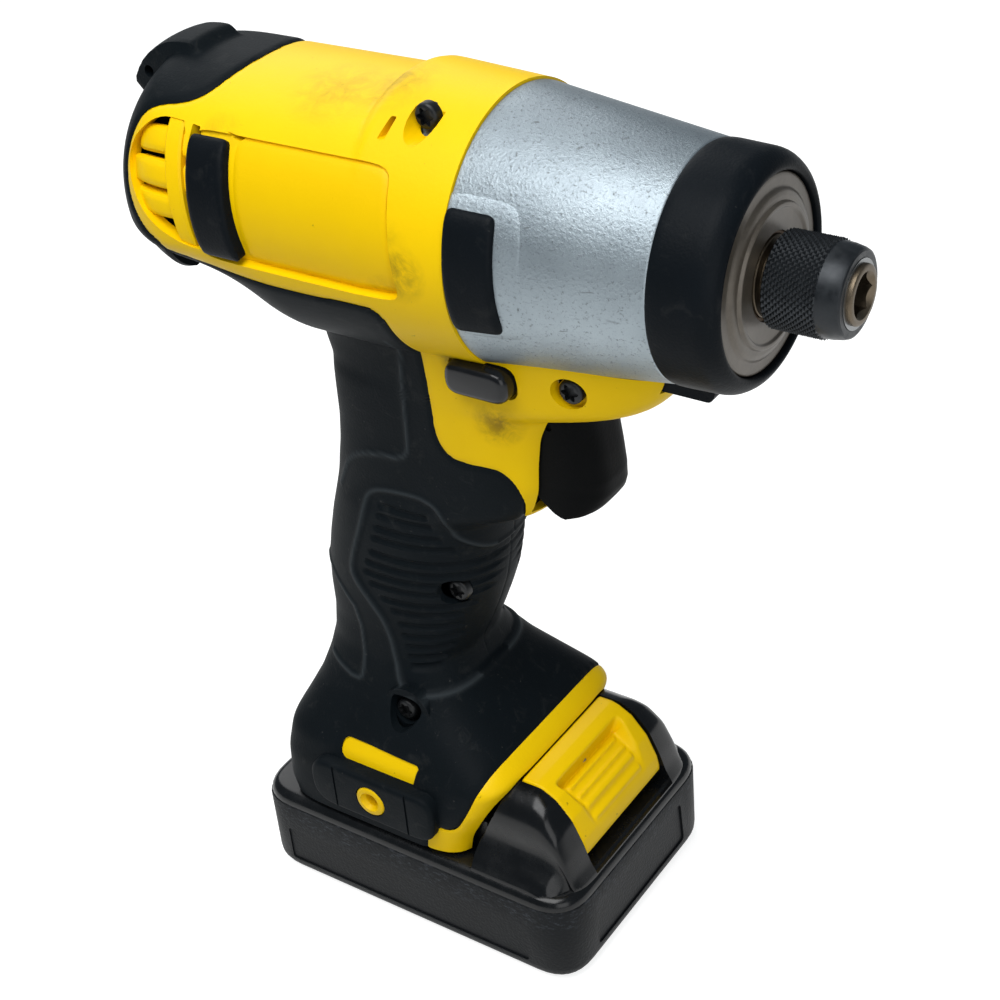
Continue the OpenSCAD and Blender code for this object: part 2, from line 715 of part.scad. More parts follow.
// An arc of a tube on the tool's right, from one angle to another, counted from the top
module spindle_arc(x, l, r0, r1, span) {
  translate([x, 0, spindle_z]) rotate([0, 90, 0]) rotate([0, 0, span[0] + 180])
    rotate_extrude(angle = span[1] - span[0], $fn = fine) translate([r0, 0]) square([r1 - r0, l]);
}
module both_sides() {
  children();
  left_of() children();
}

module housing_right() {
  color("gold") housing_half(true);
}
module housing_left() {
  color("gold") left_of() housing_half(false);
}

// Level grooves across the palm, from its rear edge round to the front
module palm_grooves() {
  low = palm_shares[0][0];
  step = (palm_shares[len(palm_shares) - 1][0] - low) / groove_count;
  difference() {
    for (i = [0:groove_count - 1]) let (h = low + step * i)
      hull() for (x = [lookup(h, palm_shares), 0.7])
        cross_bar(x * grip_l, h * spindle_z, -far, 0, groove_r, 8);
    loft([for (s = stations) half_ring(s, groove_d)]);
  }
}

// Rubber laid over the handle, the foot and the underside of the motor housing
module grip_half(headed) {
  difference() {
    union() {
      difference() {
        loft([for (s = stations) shell_ring(s, 0, rubber_t)]);
        body_form(bumper_t * 0.5, past);
        palm_grooves();
      }
      difference() {
        right_half() intersection() {
          difference() {
            body_form(0);
            body_form(bumper_t, past);
          }
          side_slab([for (p = under_shares) place(p)], -far, far);
        }
        loft([for (s = stations) half_ring(s, rubber_t * 0.8)]);
      }
      difference() {
        hull() for (k = [-1, 1])
          cross_bar(hook_x + k * (hook_boss_l - hook_boss_h) / 2, hook_z, -hook_face_w / 2 + rubber_t * 0.2,
            -grip_w * 0.7, hook_boss_h / 2, recess_sides);
        loft([for (s = stations) half_ring(s, rubber_t * 0.6)]);
      }
    }
    yellow_windows();
    case_room();
    trigger_opening();
    cross_bar(hook_x, hook_z, -far, 0, socket_r + seat_fit);
    block([grip_l * 0.1, -hood_w / 2 + slide_fit, 0], [grip_l, past, hood_h - grip_wall - slide_fit]);
    for (p = screw_places) {
      if (headed) hull() for (k = [0, 1])
        cross_bar(p[0] - k * screw_head_r * 0.8, p[1] - k * screw_head_r * 0.3, -far, -p[2],
          screw_head_r + seat_fit * 3, recess_sides);
      cross_bar(p[0], p[1], headed ? -far : -screw_l + p[2] - past, past, screw_r + seat_fit * 2, recess_sides);
    }
  }
}
module grip_right() {
  color("darkslategray") grip_half(true);
}
module grip_left() {
  color("darkslategray") left_of() grip_half(false);
}

// Rubber cap round the rear of the motor housing, with a ridge over the top and a bump below
module bumper_half() {
  right_half() {
    intersection() {
      difference() {
        body_form(0);
        body_form(bumper_t);
      }
      side_slab([for (p = bumper_shares) place(p)], -far, far);
    }
    intersection() {
      difference() {
        body_form(-ridge_h);
        body_form(0);
      }
      union() {
        block([-far, -ridge_w / 2, spindle_z + dome_l * 0.75], [dome_x - dome_l * 0.1, far, far]);
        block([-far, -ridge_w * 0.8, 0], [dome_x - dome_l * 0.35, far, spindle_z - dome_l * 0.55]);
      }
    }
  }
}
module rear_bumper_right() {
  color("darkslategray") bumper_half();
}
module rear_bumper_left() {
  color("darkslategray") left_of() bumper_half();
}

module rear_pads() {
  color("darkslategray") both_sides()
    spindle_arc(rear_pad_x + seat_fit, rear_pad_l - 2 * seat_fit, body_r - pad_seat, body_r + rear_pad_h,
      rear_pad_span + [span_fit, -span_fit]);
}
module front_pads() {
  color("darkslategray") both_sides() difference() {
    spindle_arc(front_pad_x, front_pad_l, cone_back_r - pad_seat * 2, cone_back_r + front_pad_h, front_pad_span);
    front_pad_seat();
  }
}
// The cone's surface under a front pad
module front_pad_seat() {
  spindle_turn([[split_x, 0], [split_x, cone_back_r - pad_seat], [cone_x, cone_front_r - pad_seat], [cone_x, 0]]);
}
module side_plates() {
  color("khaki") both_sides()
    spindle_arc(plate_x0 + seat_fit, plate_l - 2 * seat_fit, body_r - pad_seat, body_r - pad_seat + plate_sheet_t,
      plate_span + [span_fit, -span_fit]);
}

// Six-lobed heads drawn as hexagon recesses
module housing_screws() {
  color("dimgray") for (p = screw_places) difference() {
    union() {
      cross_bar(p[0], p[1], -p[2] - screw_head_h, -p[2], screw_head_r);
      cross_bar(p[0], p[1], -p[2], screw_l - p[2], screw_r);
    }
    cross_bar(p[0], p[1], -p[2] - screw_head_h - past, -p[2] - screw_head_h * 0.3, screw_head_r * 0.5, 6);
  }
}

module gear_case() {
  color("silver") difference() {
    spindle_turn([[skirt_x, ring_r], [skirt_x, skirt_r], [split_x, skirt_r], [split_x, cone_back_r],
      [cone_x, cone_front_r], [cone_x, nose_r], [nose_x, nose_r], [nose_x, bushing_r],
      [case_inner_x, bushing_r], [case_inner_x, hammer_bore_r],
      [skirt_x + ring_w + turn_gap, hammer_bore_r], [skirt_x + ring_w + turn_gap, ring_r]]);
    block([skirt_x - past, -far, 0], [cone_x, far, spindle_z - case_flat]);
    // Pockets for the heads of the direction bar and for the upper screw
    both_sides() block([bar_x - slide_fit * 3, -far, 0],
      [bar_x + bar_l + slide_fit * 3, bar_head_d + bar_travel + slide_fit - bar_w / 2, bar_z + bar_h + slide_fit * 1.5]);
    cross_bar(screw_places[0][0], screw_places[0][1], -far, far, screw_r + slide_fit);
    both_sides() difference() {
      spindle_arc(front_pad_x - seat_fit, front_pad_l + seat_fit * 2, cone_front_r, far,
        front_pad_span + [-span_fit, span_fit]);
      front_pad_seat();
    }
  }
}
module nose_boot() {
  color("darkslategray") {
    spindle_turn([[cone_x, nose_r + seat_fit], [cone_x, boot_r], [boot_front_x - window_t * 1.5, boot_r],
      [boot_front_x - window_t * 0.4, boot_r - window_t * 0.5], [boot_front_x, boot_r - window_t],
      [boot_front_x, window_r + seat_fit], [board_x, window_r + seat_fit], [board_x, nose_r + seat_fit]]);
    block([tab_x, -tab_w / 2, tab_z], [cone_x + nose_l * 0.6, tab_w / 2, tab_z + tab_h]);
    difference() {
      block([cone_x, -tab_w / 2, tab_z + tab_h * 0.5], [cone_x + nose_l * 0.6, tab_w / 2, spindle_z - boot_r * 0.9]);
      spindle_bar(cone_x - past, far, boot_r * 0.95);
    }
  }
}
module light_window() {
  color("tan") spindle_tube(window_x, window_t, window_r, nose_r + seat_fit);
}
module light_board() {
  color("green") spindle_tube(board_x, board_t, window_r, nose_r + seat_fit);
}
module light_diodes() {
  color("white") for (a = [90, 210, 330])
    spindle_bar(board_x + board_t, diode_h, diode_r, diode_reach * cos(a), diode_reach * sin(a), coarse);
}
module anvil_bushing() {
  color("peru") spindle_tube(bushing_x, nose_x - bushing_x, bushing_r, anvil_r + run_fit);
}

// Involute teeth: half of a tooth's angle at a radius, then the whole outline
function spread(a) = tan(a) * 180 / PI - a;
function flank(teeth, r, thin) = let (pitch = gear_m * teeth / 2, base = pitch * cos(pressure_angle))
  90 / teeth - thin / pitch * 90 / PI + spread(pressure_angle) - spread(acos(min(1, base / r)));
function gear_outline(teeth, root, tip, thin) = [for (k = [0:teeth - 1], j = [0:7])
  let (r = root + (tip - root) * (j < 4 ? j : 7 - j) / 3, a = 360 * k / teeth + (j < 4 ? -1 : 1) * flank(teeth, r, thin))
  [r * cos(a), r * sin(a)]];
function tip_of(teeth) = gear_m * (teeth / 2 + head_share);
function root_of(teeth) = gear_m * (teeth / 2 - root_share);

module spindle_gear(x, l, pts, turn = 0, y = 0) {
  translate([x, y, spindle_z]) rotate([0, 90, 0]) rotate([0, 0, 90 + turn]) linear_extrude(l) polygon(pts);
}

module ring_gear() {
  color("gray") difference() {
    spindle_bar(skirt_x, ring_w, ring_r);
    spindle_gear(skirt_x - past, ring_w + 2 * past, gear_outline(ring_teeth, gear_m * (ring_teeth / 2 - head_share),
      gear_m * (ring_teeth / 2 + root_share), -backlash), 180 / ring_teeth);
  }
}
module planet_gear(side) {
  color("lightgray") difference() {
    spindle_gear(planet_x, planet_w, gear_outline(planet_teeth, root_of(planet_teeth), tip_of(planet_teeth), backlash),
      180 / planet_teeth, side * planet_reach);
    spindle_bar(planet_x - past, planet_w + 2 * past, pin_r + run_fit, side * planet_reach);
  }
}
module planet_gear_right() {
  planet_gear(-1);
}
module planet_gear_left() {
  planet_gear(1);
}
module planet_pins() {
  color("silver") for (k = [-1, 1]) spindle_bar(flange_x, washer_x - flange_x, pin_r, k * planet_reach);
}
module motor_pinion() {
  color("lightgray") difference() {
    spindle_gear(planet_x, planet_w, gear_outline(sun_teeth, root_of(sun_teeth), tip_of(sun_teeth), backlash));
    spindle_bar(planet_x - past, planet_w + 2 * past, shaft_r);
  }
}

module gear_plate() {
  color("gray") difference() {
    spindle_bar(plate_x, plate_t, skirt_r);
    spindle_bar(skirt_x - bearing_w, bearing_w + past, bearing_r);
    spindle_bar(plate_x - past, plate_t, can_boss_r + seat_fit);
    block([plate_x - past, -far, 0], [skirt_x + past, far, spindle_z - case_flat]);
  }
}
module carrier_bearing() {
  color("silver") spindle_tube(skirt_x - bearing_w, bearing_w, bearing_r, hub_r + run_fit);
}
module motor_can() {
  color("lightgray") difference() {
    union() {
      spindle_bar(can_x, can_l, can_r);
      spindle_bar(plate_x, can_boss_l, can_boss_r);
    }
    spindle_bar(can_x - past, can_l + past - can_wall, can_r - can_wall);
    spindle_bar(can_x, can_l + plate_t, shaft_r + run_fit);
  }
}
module motor_magnets() {
  color("dimgray") both_sides() spindle_arc(armature_x, armature_l, can_r - can_wall - magnet_t, can_r - can_wall,
    magnet_span);
}
module motor_cap() {
  color("black") difference() {
    spindle_bar(cap_x, cap_l, can_r - can_wall * 0.5);
    spindle_bar(cap_x + can_wall * 1.5, cap_l, cap_bore_r);
    spindle_bar(cap_x - past, cap_l, shaft_r + run_fit);
  }
}
module motor_brushes() {
  brush_w = commutator_l * 0.7;
  color("black") for (k = [0, 180]) translate([commutator_x + commutator_l * 0.15, 0, spindle_z]) rotate([k, 0, 0])
    block([0, -brush_w / 2, commutator_r + run_fit], [brush_w, brush_w / 2, sqrt(cap_bore_r * cap_bore_r - brush_w * brush_w / 4)]);
}
module rotor_shaft() {
  color("silver") spindle_bar(cap_x, planet_x + planet_w - cap_x, shaft_r);
}
module armature() {
  slot_w = armature_r * 0.22;
  color("chocolate") difference() {
    spindle_bar(armature_x, armature_l, armature_r);
    spindle_bar(armature_x - past, armature_l + 2 * past, shaft_r);
    for (a = [0:60:300]) translate([0, 0, spindle_z]) rotate([a, 0, 0])
      block([armature_x - past, -slot_w / 2, armature_r * 0.7], [armature_x + armature_l + past, slot_w / 2, far]);
  }
}
module commutator() {
  color("chocolate") spindle_tube(commutator_x, commutator_l, commutator_r, shaft_r);
}
module motor_fan() {
  disc_t = fan_l * 0.3;
  color("black") difference() {
    union() {
      spindle_bar(fan_x, disc_t, fan_r);
      spindle_bar(fan_x, fan_l, shaft_r * 2.4);
      for (a = [0:30:330]) translate([0, 0, spindle_z]) rotate([a, 0, 0])
        block([fan_x, -disc_t / 2, shaft_r * 2], [fan_x + fan_l, disc_t / 2, fan_r * 0.95]);
    }
    spindle_bar(fan_x - past, fan_l + 2 * past, shaft_r);
  }
}

// Planet carrier and cam shaft in one piece, with two V-shaped grooves for the cam balls
module cam_shaft() {
  color("gray") difference() {
    union() {
      spindle_bar(skirt_x - bearing_w + turn_gap, flange_x - skirt_x + bearing_w, hub_r);
      spindle_bar(flange_x, flange_t, carrier_r);
      spindle_bar(cam_flange_x, cam_flange_t, cam_flange_r);
      for (k = [0, 180]) translate([0, 0, spindle_z]) rotate([k, 0, 0])
        block([flange_x, -carrier_r * 0.3, carrier_r * 0.45], [washer_x, carrier_r * 0.3, carrier_r * 0.93]);
      spindle_bar(washer_x, cam_front_x - washer_x, cam_r);
      spindle_bar(washer_x, cam_front_x - washer_x + pilot_l, pilot_r);
    }
    spindle_bar(skirt_x - bearing_w - past, cam_flange_x - skirt_x + bearing_w + past, tip_of(sun_teeth) + slide_fit);
    for (k = [-1, 1]) spindle_bar(flange_x - past, washer_x - flange_x + 2 * past, pin_r, k * planet_reach);
    for (k = [0, 180]) translate([ball_x, 0, spindle_z]) rotate([k, 0, 0]) translate([0, 0, ball_reach]) {
      sphere(r = cam_ball_r + run_fit, $fn = coarse);
      for (a = [-cam_angle, cam_angle]) rotate([0, 0, a]) rotate([0, -90, 0])
        cylinder(h = cam_r * 2, r = cam_ball_r + run_fit, $fn = coarse);
    }
  }
}
module cam_balls() {
  color("silver") for (k = [-1, 1]) translate([ball_x, 0, spindle_z + k * ball_reach]) sphere(r = cam_ball_r, $fn = coarse);
}
module spring_washer() {
  color("silver") spindle_tube(washer_x, washer_t, hammer_coil_r + hammer_wire_r * 1.8, cam_r + seat_fit);
}
module hammer_spring() {
  color("dimgray") translate([spring_x, 0, spindle_z]) rotate([0, 90, 0])
    coil(hammer_coil_r, hammer_wire_r, hammer_x + spring_pocket_l - spring_x, 4.5);
}
module hammer() {
  pocket_gap = hammer_wire_r * 2;
  color("slategray") difference() {
    union() {
      spindle_bar(hammer_x, hammer_l, hammer_r);
      intersection() {
        spindle_bar(hammer_front_x, jaw_l, hammer_r);
        translate([0, 0, spindle_z]) for (k = [-1, 1]) translate([0, k * hammer_r, 0])
          block([hammer_front_x, -hammer_r * 0.48, -jaw_w / 2], [hammer_front_x + jaw_l, hammer_r * 0.48, jaw_w / 2]);
      }
    }
    spindle_bar(hammer_x - past, hammer_l + 2 * past, cam_r + run_fit);
    difference() {
      spindle_bar(hammer_x - past, spring_pocket_l + past, hammer_coil_r + pocket_gap);
      spindle_bar(hammer_x - past, spring_pocket_l + past, hammer_coil_r - pocket_gap);
    }
    for (k = [-1, 1]) spindle_bar(hammer_x - past, hammer_l + 2 * past, cam_ball_r + slide_fit, 0, k * ball_reach, coarse);
  }
}

module hexagon_bar(x, l, af) {
  spindle_bar(x, l, af / sqrt(3), 0, 0, 6);
}
module anvil() {
  shoulder_x = nose_x + turn_gap * 3;
  color("darkkhaki") difference() {
    union() {
      intersection() {
        translate([0, 0, spindle_z]) block([anvil_x, -wing_w / 2, -far], [wing_front_x, wing_w / 2, far]);
        spindle_bar(anvil_x, wing_t, wing_r);
      }
      spindle_bar(anvil_x, wing_t, anvil_r * 1.15);
      spindle_bar(wing_front_x, case_inner_x - wing_front_x - turn_gap, anvil_r * 1.3);
      spindle_bar(anvil_x, shoulder_x - anvil_x, anvil_r);
      spindle_turn([[shoulder_x, 0], [shoulder_x, neck_r], [ring_x, neck_r], [ring_x, ring_groove_r],
        [ring_x + sleeve_washer_t, ring_groove_r], [ring_x + sleeve_washer_t, neck_r], [tip_x, neck_r], [tip_x, 0]]);
    }
    hexagon_bar(tip_x - socket_l, socket_l + past, socket_af);
    spindle_bar(anvil_x - past, pilot_l + past + turn_gap * 4, pilot_r + run_fit);
    translate([detent_x, 0, spindle_z - far / 2]) cylinder(h = far, r = detent_r + run_fit, $fn = coarse);
  }
}
module bit_sleeve() {
  edge = (sleeve_r - sleeve_front_r) / 2;
  sleeve_front_x = sleeve_x + sleeve_l;
  step_x = detent_x + detent_r * 0.75;
  color("black") spindle_turn([[sleeve_x, ramp_r], [sleeve_x, sleeve_r - edge], [sleeve_x + edge, sleeve_r],
    [sleeve_x + knurl_l, sleeve_r], [sleeve_x + knurl_l + edge, sleeve_r - edge],
    [sleeve_front_x - edge * 2, sleeve_front_r + edge * 0.6], [sleeve_front_x, sleeve_front_r],
    [sleeve_front_x, spring_room_r], [land_front_x, spring_room_r],
    [land_front_x, neck_r + run_fit], [step_x, neck_r + run_fit], [step_x, land_r], [detent_x, land_r]]);
}
module sleeve_spring() {
  color("silver") translate([land_front_x, 0, spindle_z]) rotate([0, 90, 0])
    coil((neck_r + spring_room_r) / 2, sleeve_wire_r, ring_x - sleeve_washer_t - land_front_x, 2.5);
}
module sleeve_washer() {
  color("silver") spindle_tube(ring_x - sleeve_washer_t, sleeve_washer_t, spring_room_r - slide_fit * 0.5, neck_r + run_fit);
}
module retaining_ring() {
  color("silver") spindle_tube(ring_x, sleeve_washer_t, (neck_r + spring_room_r) / 2, ring_groove_r);
}
module detent_ball(side) {
  color("silver") translate([detent_x, 0, spindle_z + side * detent_reach]) sphere(r = detent_r, $fn = coarse);
}
module detent_ball_upper() {
  detent_ball(1);
}
module detent_ball_lower() {
  detent_ball(-1);
}

module switch_body() {
  color("black") difference() {
    block([switch_x, -switch_w / 2, switch_z], [switch_x + switch_l, switch_w / 2, switch_z + switch_h]);
    block([trigger_x - stem_l - trigger_travel - slide_fit, -stem_w / 2 - slide_fit, stem_z - stem_h / 2 - slide_fit],
      [far, stem_w / 2 + slide_fit, stem_z + stem_h / 2 + slide_fit]);
  }
}
// Trigger outline as shares of its depth and height, from the top rear round the front
trigger_shares = [[0, 1], [0.82, 1], [0.86, 0.78], [0.93, 0.5], [0.99, 0.3], [0.98, 0.16], [0.8, 0.03],
  [0.55, 0], [0.36, 0.05], [0.12, 0.2], [0, 0.26]];
module trigger() {
  color("black") {
    intersection() {
      side_slab([for (p = trigger_shares) [trigger_x + p[0] * trigger_d, trigger_z + p[1] * trigger_h]],
        -trigger_w / 2, trigger_w / 2);
      union() {
        block([0, -trigger_w / 2, 0], [trigger_x + trigger_d - trigger_w / 2, trigger_w / 2, far]);
        translate([trigger_x + trigger_d - trigger_w / 2, 0, 0]) cylinder(h = far, r = trigger_w / 2, $fn = fine);
      }
    }
    block([trigger_x - stem_l, -stem_w / 2, stem_z - stem_h / 2], [trigger_x + trigger_d * 0.2, stem_w / 2, stem_z + stem_h / 2]);
  }
}
module trigger_spring() {
  mean_r = norm([stem_w, stem_h]) / 2 + trigger_wire_r * 2;
  color("silver") translate([switch_x + switch_l, 0, stem_z]) rotate([0, 90, 0])
    coil(mean_r, trigger_wire_r, trigger_x - switch_x - switch_l, 3.5);
}
// The round-ended outline of the direction bar's head, from one y to another
module bar_head(y0, y1, gap, sides = fine) {
  translate([bar_x + bar_l / 2, y1, bar_z + bar_h / 2]) rotate([90, 0, 0]) linear_extrude(y1 - y0)
    rounded(bar_l + 2 * gap, bar_h + 2 * gap, bar_h * 0.42 + gap, sides);
}
module direction_bar() {
  color("black") {
    both_sides() bar_head(-bar_w / 2, -bar_w / 2 + bar_head_d, 0);
    block([bar_x + bar_l * 0.2, -bar_w / 2 + bar_head_d * 0.5, bar_z],
      [bar_x + bar_l * 0.8, bar_w / 2 - bar_head_d * 0.5, bar_z + bar_h * 0.55]);
  }
}

module hook_sockets() {
  inner_y = grip_w * 0.674;
  color("goldenrod") both_sides() difference() {
    cross_bar(hook_x, hook_z, -hook_face_w / 2, -inner_y, socket_r);
    cross_bar(hook_x, hook_z, -hook_face_w / 2 - past, -hook_face_w / 2 + hook_hole_l, hook_hole_r);
  }
}
module terminal_block() {
  color("black") block([terminal_x, -grip_w * 0.42, terminal_z], [blade_x, grip_w * 0.42, shelf_z]);
}
blade_spread_shares = [-0.28, -0.09, 0.09, 0.28];
module terminal_blades() {
  color("goldenrod") for (s = blade_spread_shares) translate([blade_x, s * grip_w, terminal_z])
    block([0, -blade_t / 2, slide_fit * 2], [blade_l, blade_t / 2, (shelf_z - terminal_z) * 0.4]);
}

// A rectangle with round corners about the origin
module rounded(l, w, r, sides = fine) {
  square([l - 2 * r, w], center = true);
  square([l, w - 2 * r], center = true);
  for (i = [-1, 1], j = [-1, 1]) translate([i * (l / 2 - r), j * (w / 2 - r)]) circle(r = r, $fn = sides);
}
post_r = pack_screw_r * 2.4;
pack_posts = [for (i = [-1, 1], j = [-1, 1])
  [i * (pack_l / 2 - pack_wall - post_r * 0.9), j * (pack_w / 2 - pack_corner_r - post_r), 0]];
module pack_tray() {
  color("darkslategray") difference() {
    union() {
      difference() {
        linear_extrude(tray_h) rounded(pack_l, pack_w, pack_corner_r);
        translate([0, 0, pack_wall]) linear_extrude(tray_h)
          rounded(pack_l - 2 * pack_wall, pack_w - 2 * pack_wall, pack_corner_r - pack_wall);
      }
      for (p = pack_posts) translate(p) cylinder(h = tray_h, r = post_r, $fn = coarse);
    }
    for (p = pack_posts) translate(p) {
      translate([0, 0, -past]) cylinder(h = tray_h + 2 * past, r = pack_screw_r + seat_fit, $fn = coarse);
      translate([0, 0, -past]) cylinder(h = past + pack_wall * 2, r = pack_screw_r * 1.8, $fn = coarse);
    }
  }
}
// Hood outline as shares of its length and height, from the rear foot round the top to the front
hood_x = grip_l * 0.41;
hood_l = pack_l / 2 - pack_wall * 1.5 - hood_x;
hood_shares = [[0, 0], [0, 0.27], [0.19, 0.66], [0.345, 0.98], [0.365, 1], [0.50, 1], [0.66, 0.90], [0.82, 0.675],
  [0.93, 0.38], [0.985, 0.1], [1, 0]];
function hood_place(p) = [hood_x + p[0] * hood_l, deck_z + p[1] * (hood_h - deck_z)];
latch_low_share = (latch_travel + slide_fit) / (hood_h - deck_z);
latch_shares = [[0.365, 0.985], [0.50, 0.985], [0.655, 0.885], [0.81, 0.66], [0.915, 0.38], [0.94, latch_low_share],
  [0.81, latch_low_share], [0.76, 0.42], [0.66, 0.62], [0.55, 0.80], [0.365, 0.82]];
module pack_lid() {
  neck_x = -grip_l * 0.68;
  color("black") {
    difference() {
      union() {
        translate([0, 0, tray_h]) linear_extrude(deck_t)
          rounded(pack_l - pack_wall, pack_w - pack_wall, pack_corner_r - pack_wall / 2);
        intersection() {
          side_slab([for (p = hood_shares) hood_place(p)], -hood_w / 2, hood_w / 2);
          translate([hood_x - past, 0, 0]) rotate([90, 0, 90]) linear_extrude(hood_l + 2 * past) union() {
            translate([-hood_w / 2, 0]) square([hood_w, hood_h - hood_round]);
            translate([-hood_w / 2 + hood_round, 0]) square([hood_w - 2 * hood_round, hood_h]);
            for (k = [-1, 1]) translate([k * (hood_w / 2 - hood_round), hood_h - hood_round])
              circle(r = hood_round, $fn = fine);
          }
        }
      }
      translate([0, 0, deck_z]) linear_extrude(far)
        translate([hood_x + hood_l * 0.365 - slide_fit, -latch_w / 2 - slide_fit]) square([far, latch_w + 2 * slide_fit]);
      for (p = pack_posts) translate(p) translate([0, 0, tray_h - past])
        cylinder(h = past + deck_t * 0.7, r = pack_screw_r + seat_fit, $fn = coarse);
    }
    block([neck_x, -grip_w * 0.515, deck_z], [grip_l * 0.15, grip_w * 0.515, flange_top_z]);
    block([neck_x, -grip_w * 0.64, flange_z], [grip_l * 0.15, grip_w * 0.64, flange_top_z]);
    block([grip_l * 0.15, -hood_w / 2 + slide_fit * 4, deck_z], [grip_l * 0.42, hood_w / 2 - slide_fit * 4, flange_top_z]);
  }
}
module pack_cells() {
  color("teal") for (k = [-1:1]) translate([-cell_l / 2, k * cell_pitch, cell_z]) rotate([0, 90, 0])
    cylinder(h = cell_l, r = cell_r, $fn = fine);
}
module pack_straps() {
  color("silver") for (k = [-1, 1]) translate([k * (cell_l / 2 + blade_t / 4), 0, cell_z])
    cube([blade_t / 2, cell_pitch * 2.6, cell_r * 0.9], center = true);
}
module pack_contacts() {
  contact_x = blade_x + slide_fit * 2;
  color("dimgray") difference() {
    block([contact_x, -grip_w * 0.42, flange_top_z], [grip_l * 0.28, grip_w * 0.42, hood_h - grip_wall - slide_fit * 3]);
    for (s = blade_spread_shares) translate([0, s * grip_w, 0])
      block([contact_x - past, -blade_t / 2 - slide_fit, flange_top_z + slide_fit],
        [blade_x + blade_l + slide_fit * 2, blade_t / 2 + slide_fit, far]);
  }
}
module pack_screws() {
  color("dimgray") for (p = pack_posts) translate(p) difference() {
    union() {
      translate([0, 0, pack_wall]) cylinder(h = pack_wall, r = pack_screw_r * 1.7, $fn = coarse);
      translate([0, 0, pack_wall]) cylinder(h = tray_h - pack_wall + deck_t * 0.6, r = pack_screw_r, $fn = coarse);
    }
    cylinder(h = pack_wall * 1.6, r = pack_screw_r * 0.8, $fn = 6);
  }
}
module release_latch() {
  color("gold") side_slab([for (p = latch_shares) hood_place(p)], -latch_w / 2, latch_w / 2);
}
module latch_spring() {
  at = hood_place(latch_shares[9]);
  color("silver") translate([at[0] - latch_wall * 0.9, 0, deck_z]) coil(latch_wall * 0.7, latch_wire_r, at[1] - deck_z, 6);
}

housing_right();
housing_left();
grip_right();
grip_left();
rear_bumper_right();
rear_bumper_left();
rear_pads();
front_pads();
side_plates();
housing_screws();
gear_case();
nose_boot();
light_window();
light_board();
light_diodes();
anvil_bushing();
ring_gear();
gear_plate();
carrier_bearing();
motor_can();
motor_magnets();
motor_cap();
motor_brushes();
rotor_shaft();
armature();
commutator();
motor_fan();
motor_pinion();
cam_shaft();
planet_pins();
planet_gear_right();
planet_gear_left();
cam_balls();
spring_washer();
hammer_spring();
hammer();
anvil();
bit_sleeve();
sleeve_spring();
sleeve_washer();
retaining_ring();
detent_ball_upper();
detent_ball_lower();
switch_body();
trigger();
trigger_spring();
direction_bar();
hook_sockets();
terminal_block();
terminal_blades();
pack_tray();
pack_lid();
pack_cells();
pack_straps();
pack_contacts();
pack_screws();
release_latch();
latch_spring();
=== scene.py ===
from math import cos, pi, radians, sin

import bmesh
import bpy
import numpy as np
from mathutils import Matrix, Vector


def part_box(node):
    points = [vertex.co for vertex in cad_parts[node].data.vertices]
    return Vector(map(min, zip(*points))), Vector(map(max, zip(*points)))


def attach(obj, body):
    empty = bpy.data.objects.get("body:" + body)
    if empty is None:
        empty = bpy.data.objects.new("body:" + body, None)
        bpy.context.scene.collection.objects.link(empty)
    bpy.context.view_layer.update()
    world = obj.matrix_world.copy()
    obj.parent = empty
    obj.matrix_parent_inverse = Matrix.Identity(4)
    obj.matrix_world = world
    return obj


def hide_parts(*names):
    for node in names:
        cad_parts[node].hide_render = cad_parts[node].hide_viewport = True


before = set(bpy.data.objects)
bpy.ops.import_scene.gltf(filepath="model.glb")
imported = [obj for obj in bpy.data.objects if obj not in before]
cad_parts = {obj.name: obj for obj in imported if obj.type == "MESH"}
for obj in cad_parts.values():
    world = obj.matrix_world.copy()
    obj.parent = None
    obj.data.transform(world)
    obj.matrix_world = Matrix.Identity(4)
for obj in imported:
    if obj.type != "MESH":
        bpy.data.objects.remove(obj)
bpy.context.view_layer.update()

# ---- View -------------------------------------------------------------------------------------
# The camera looks down on the tool's right side from ahead of it, at the photograph's distance.
# The frame is square, so the lens alone sets how much is taken in.
eye = Vector((0.1983, -0.2490, 0.2993))
to_right = Vector((0.8291, 0.5534, -0.0800))
to_top = Vector((-0.2490, 0.4935, 0.8334))
to_back = Vector((0.5007, -0.6710, 0.5469))
camera = bpy.data.objects.new("camera", bpy.data.cameras.new("camera"))
seen_from = zip(zip(to_right, to_top, to_back), eye)
camera.matrix_world = Matrix([(*row, place) for row, place in seen_from] + [(0, 0, 0, 1)])
camera.data.lens = 68.24
camera.data.sensor_width = 36
camera.data.clip_start = 0.01
bpy.context.collection.objects.link(camera)
bpy.context.scene.camera = camera
bpy.context.scene.view_settings.view_transform = "Standard"

# ---- Motor housing ----------------------------------------------------------------------------
# Two moulded ABS halves, screwed together on the middle plane: a barrel over the motor, the surround of
# the trigger, the band over the foot's front and the rails that the battery hangs on.
# All sizes are in millimetres, and each piece is scaled to metres when it is fitted.
spindle_z = 157.7
split_x, dome_x, dome_l = 24, -38, 22.5
barrel_r, barrel_front_r, barrel_wall = 26.6, 25.6, 2.8
crown_drop, crown_r, crease = 10, 34, 1.2
collar_x, collar_slope, collar_edge, collar_back_r, collar_front_r = 5, 5, 0.4, 23.6, 27.8
# The underside rises towards the rear, over this length and this part of the round
keel_rise, keel_x0, keel_x1, keel_from, keel_to = 0.29, -14, -44, radians(98), radians(130)


def soft_least(a, b, blend):
    """The smaller of two sizes, with the crease between them rounded."""
    share = np.clip(0.5 + 0.5 * (b - a) / blend, 0, 1)
    return b + (a - b) * share - blend * share * (1 - share)


def step_to(value, start, end):
    """0 up to the start, 1 from the end on, and an easy rise between them."""
    share = np.clip((value - start) / (end - start), 0, 1)
    return share ** 2 * (3 - 2 * share)


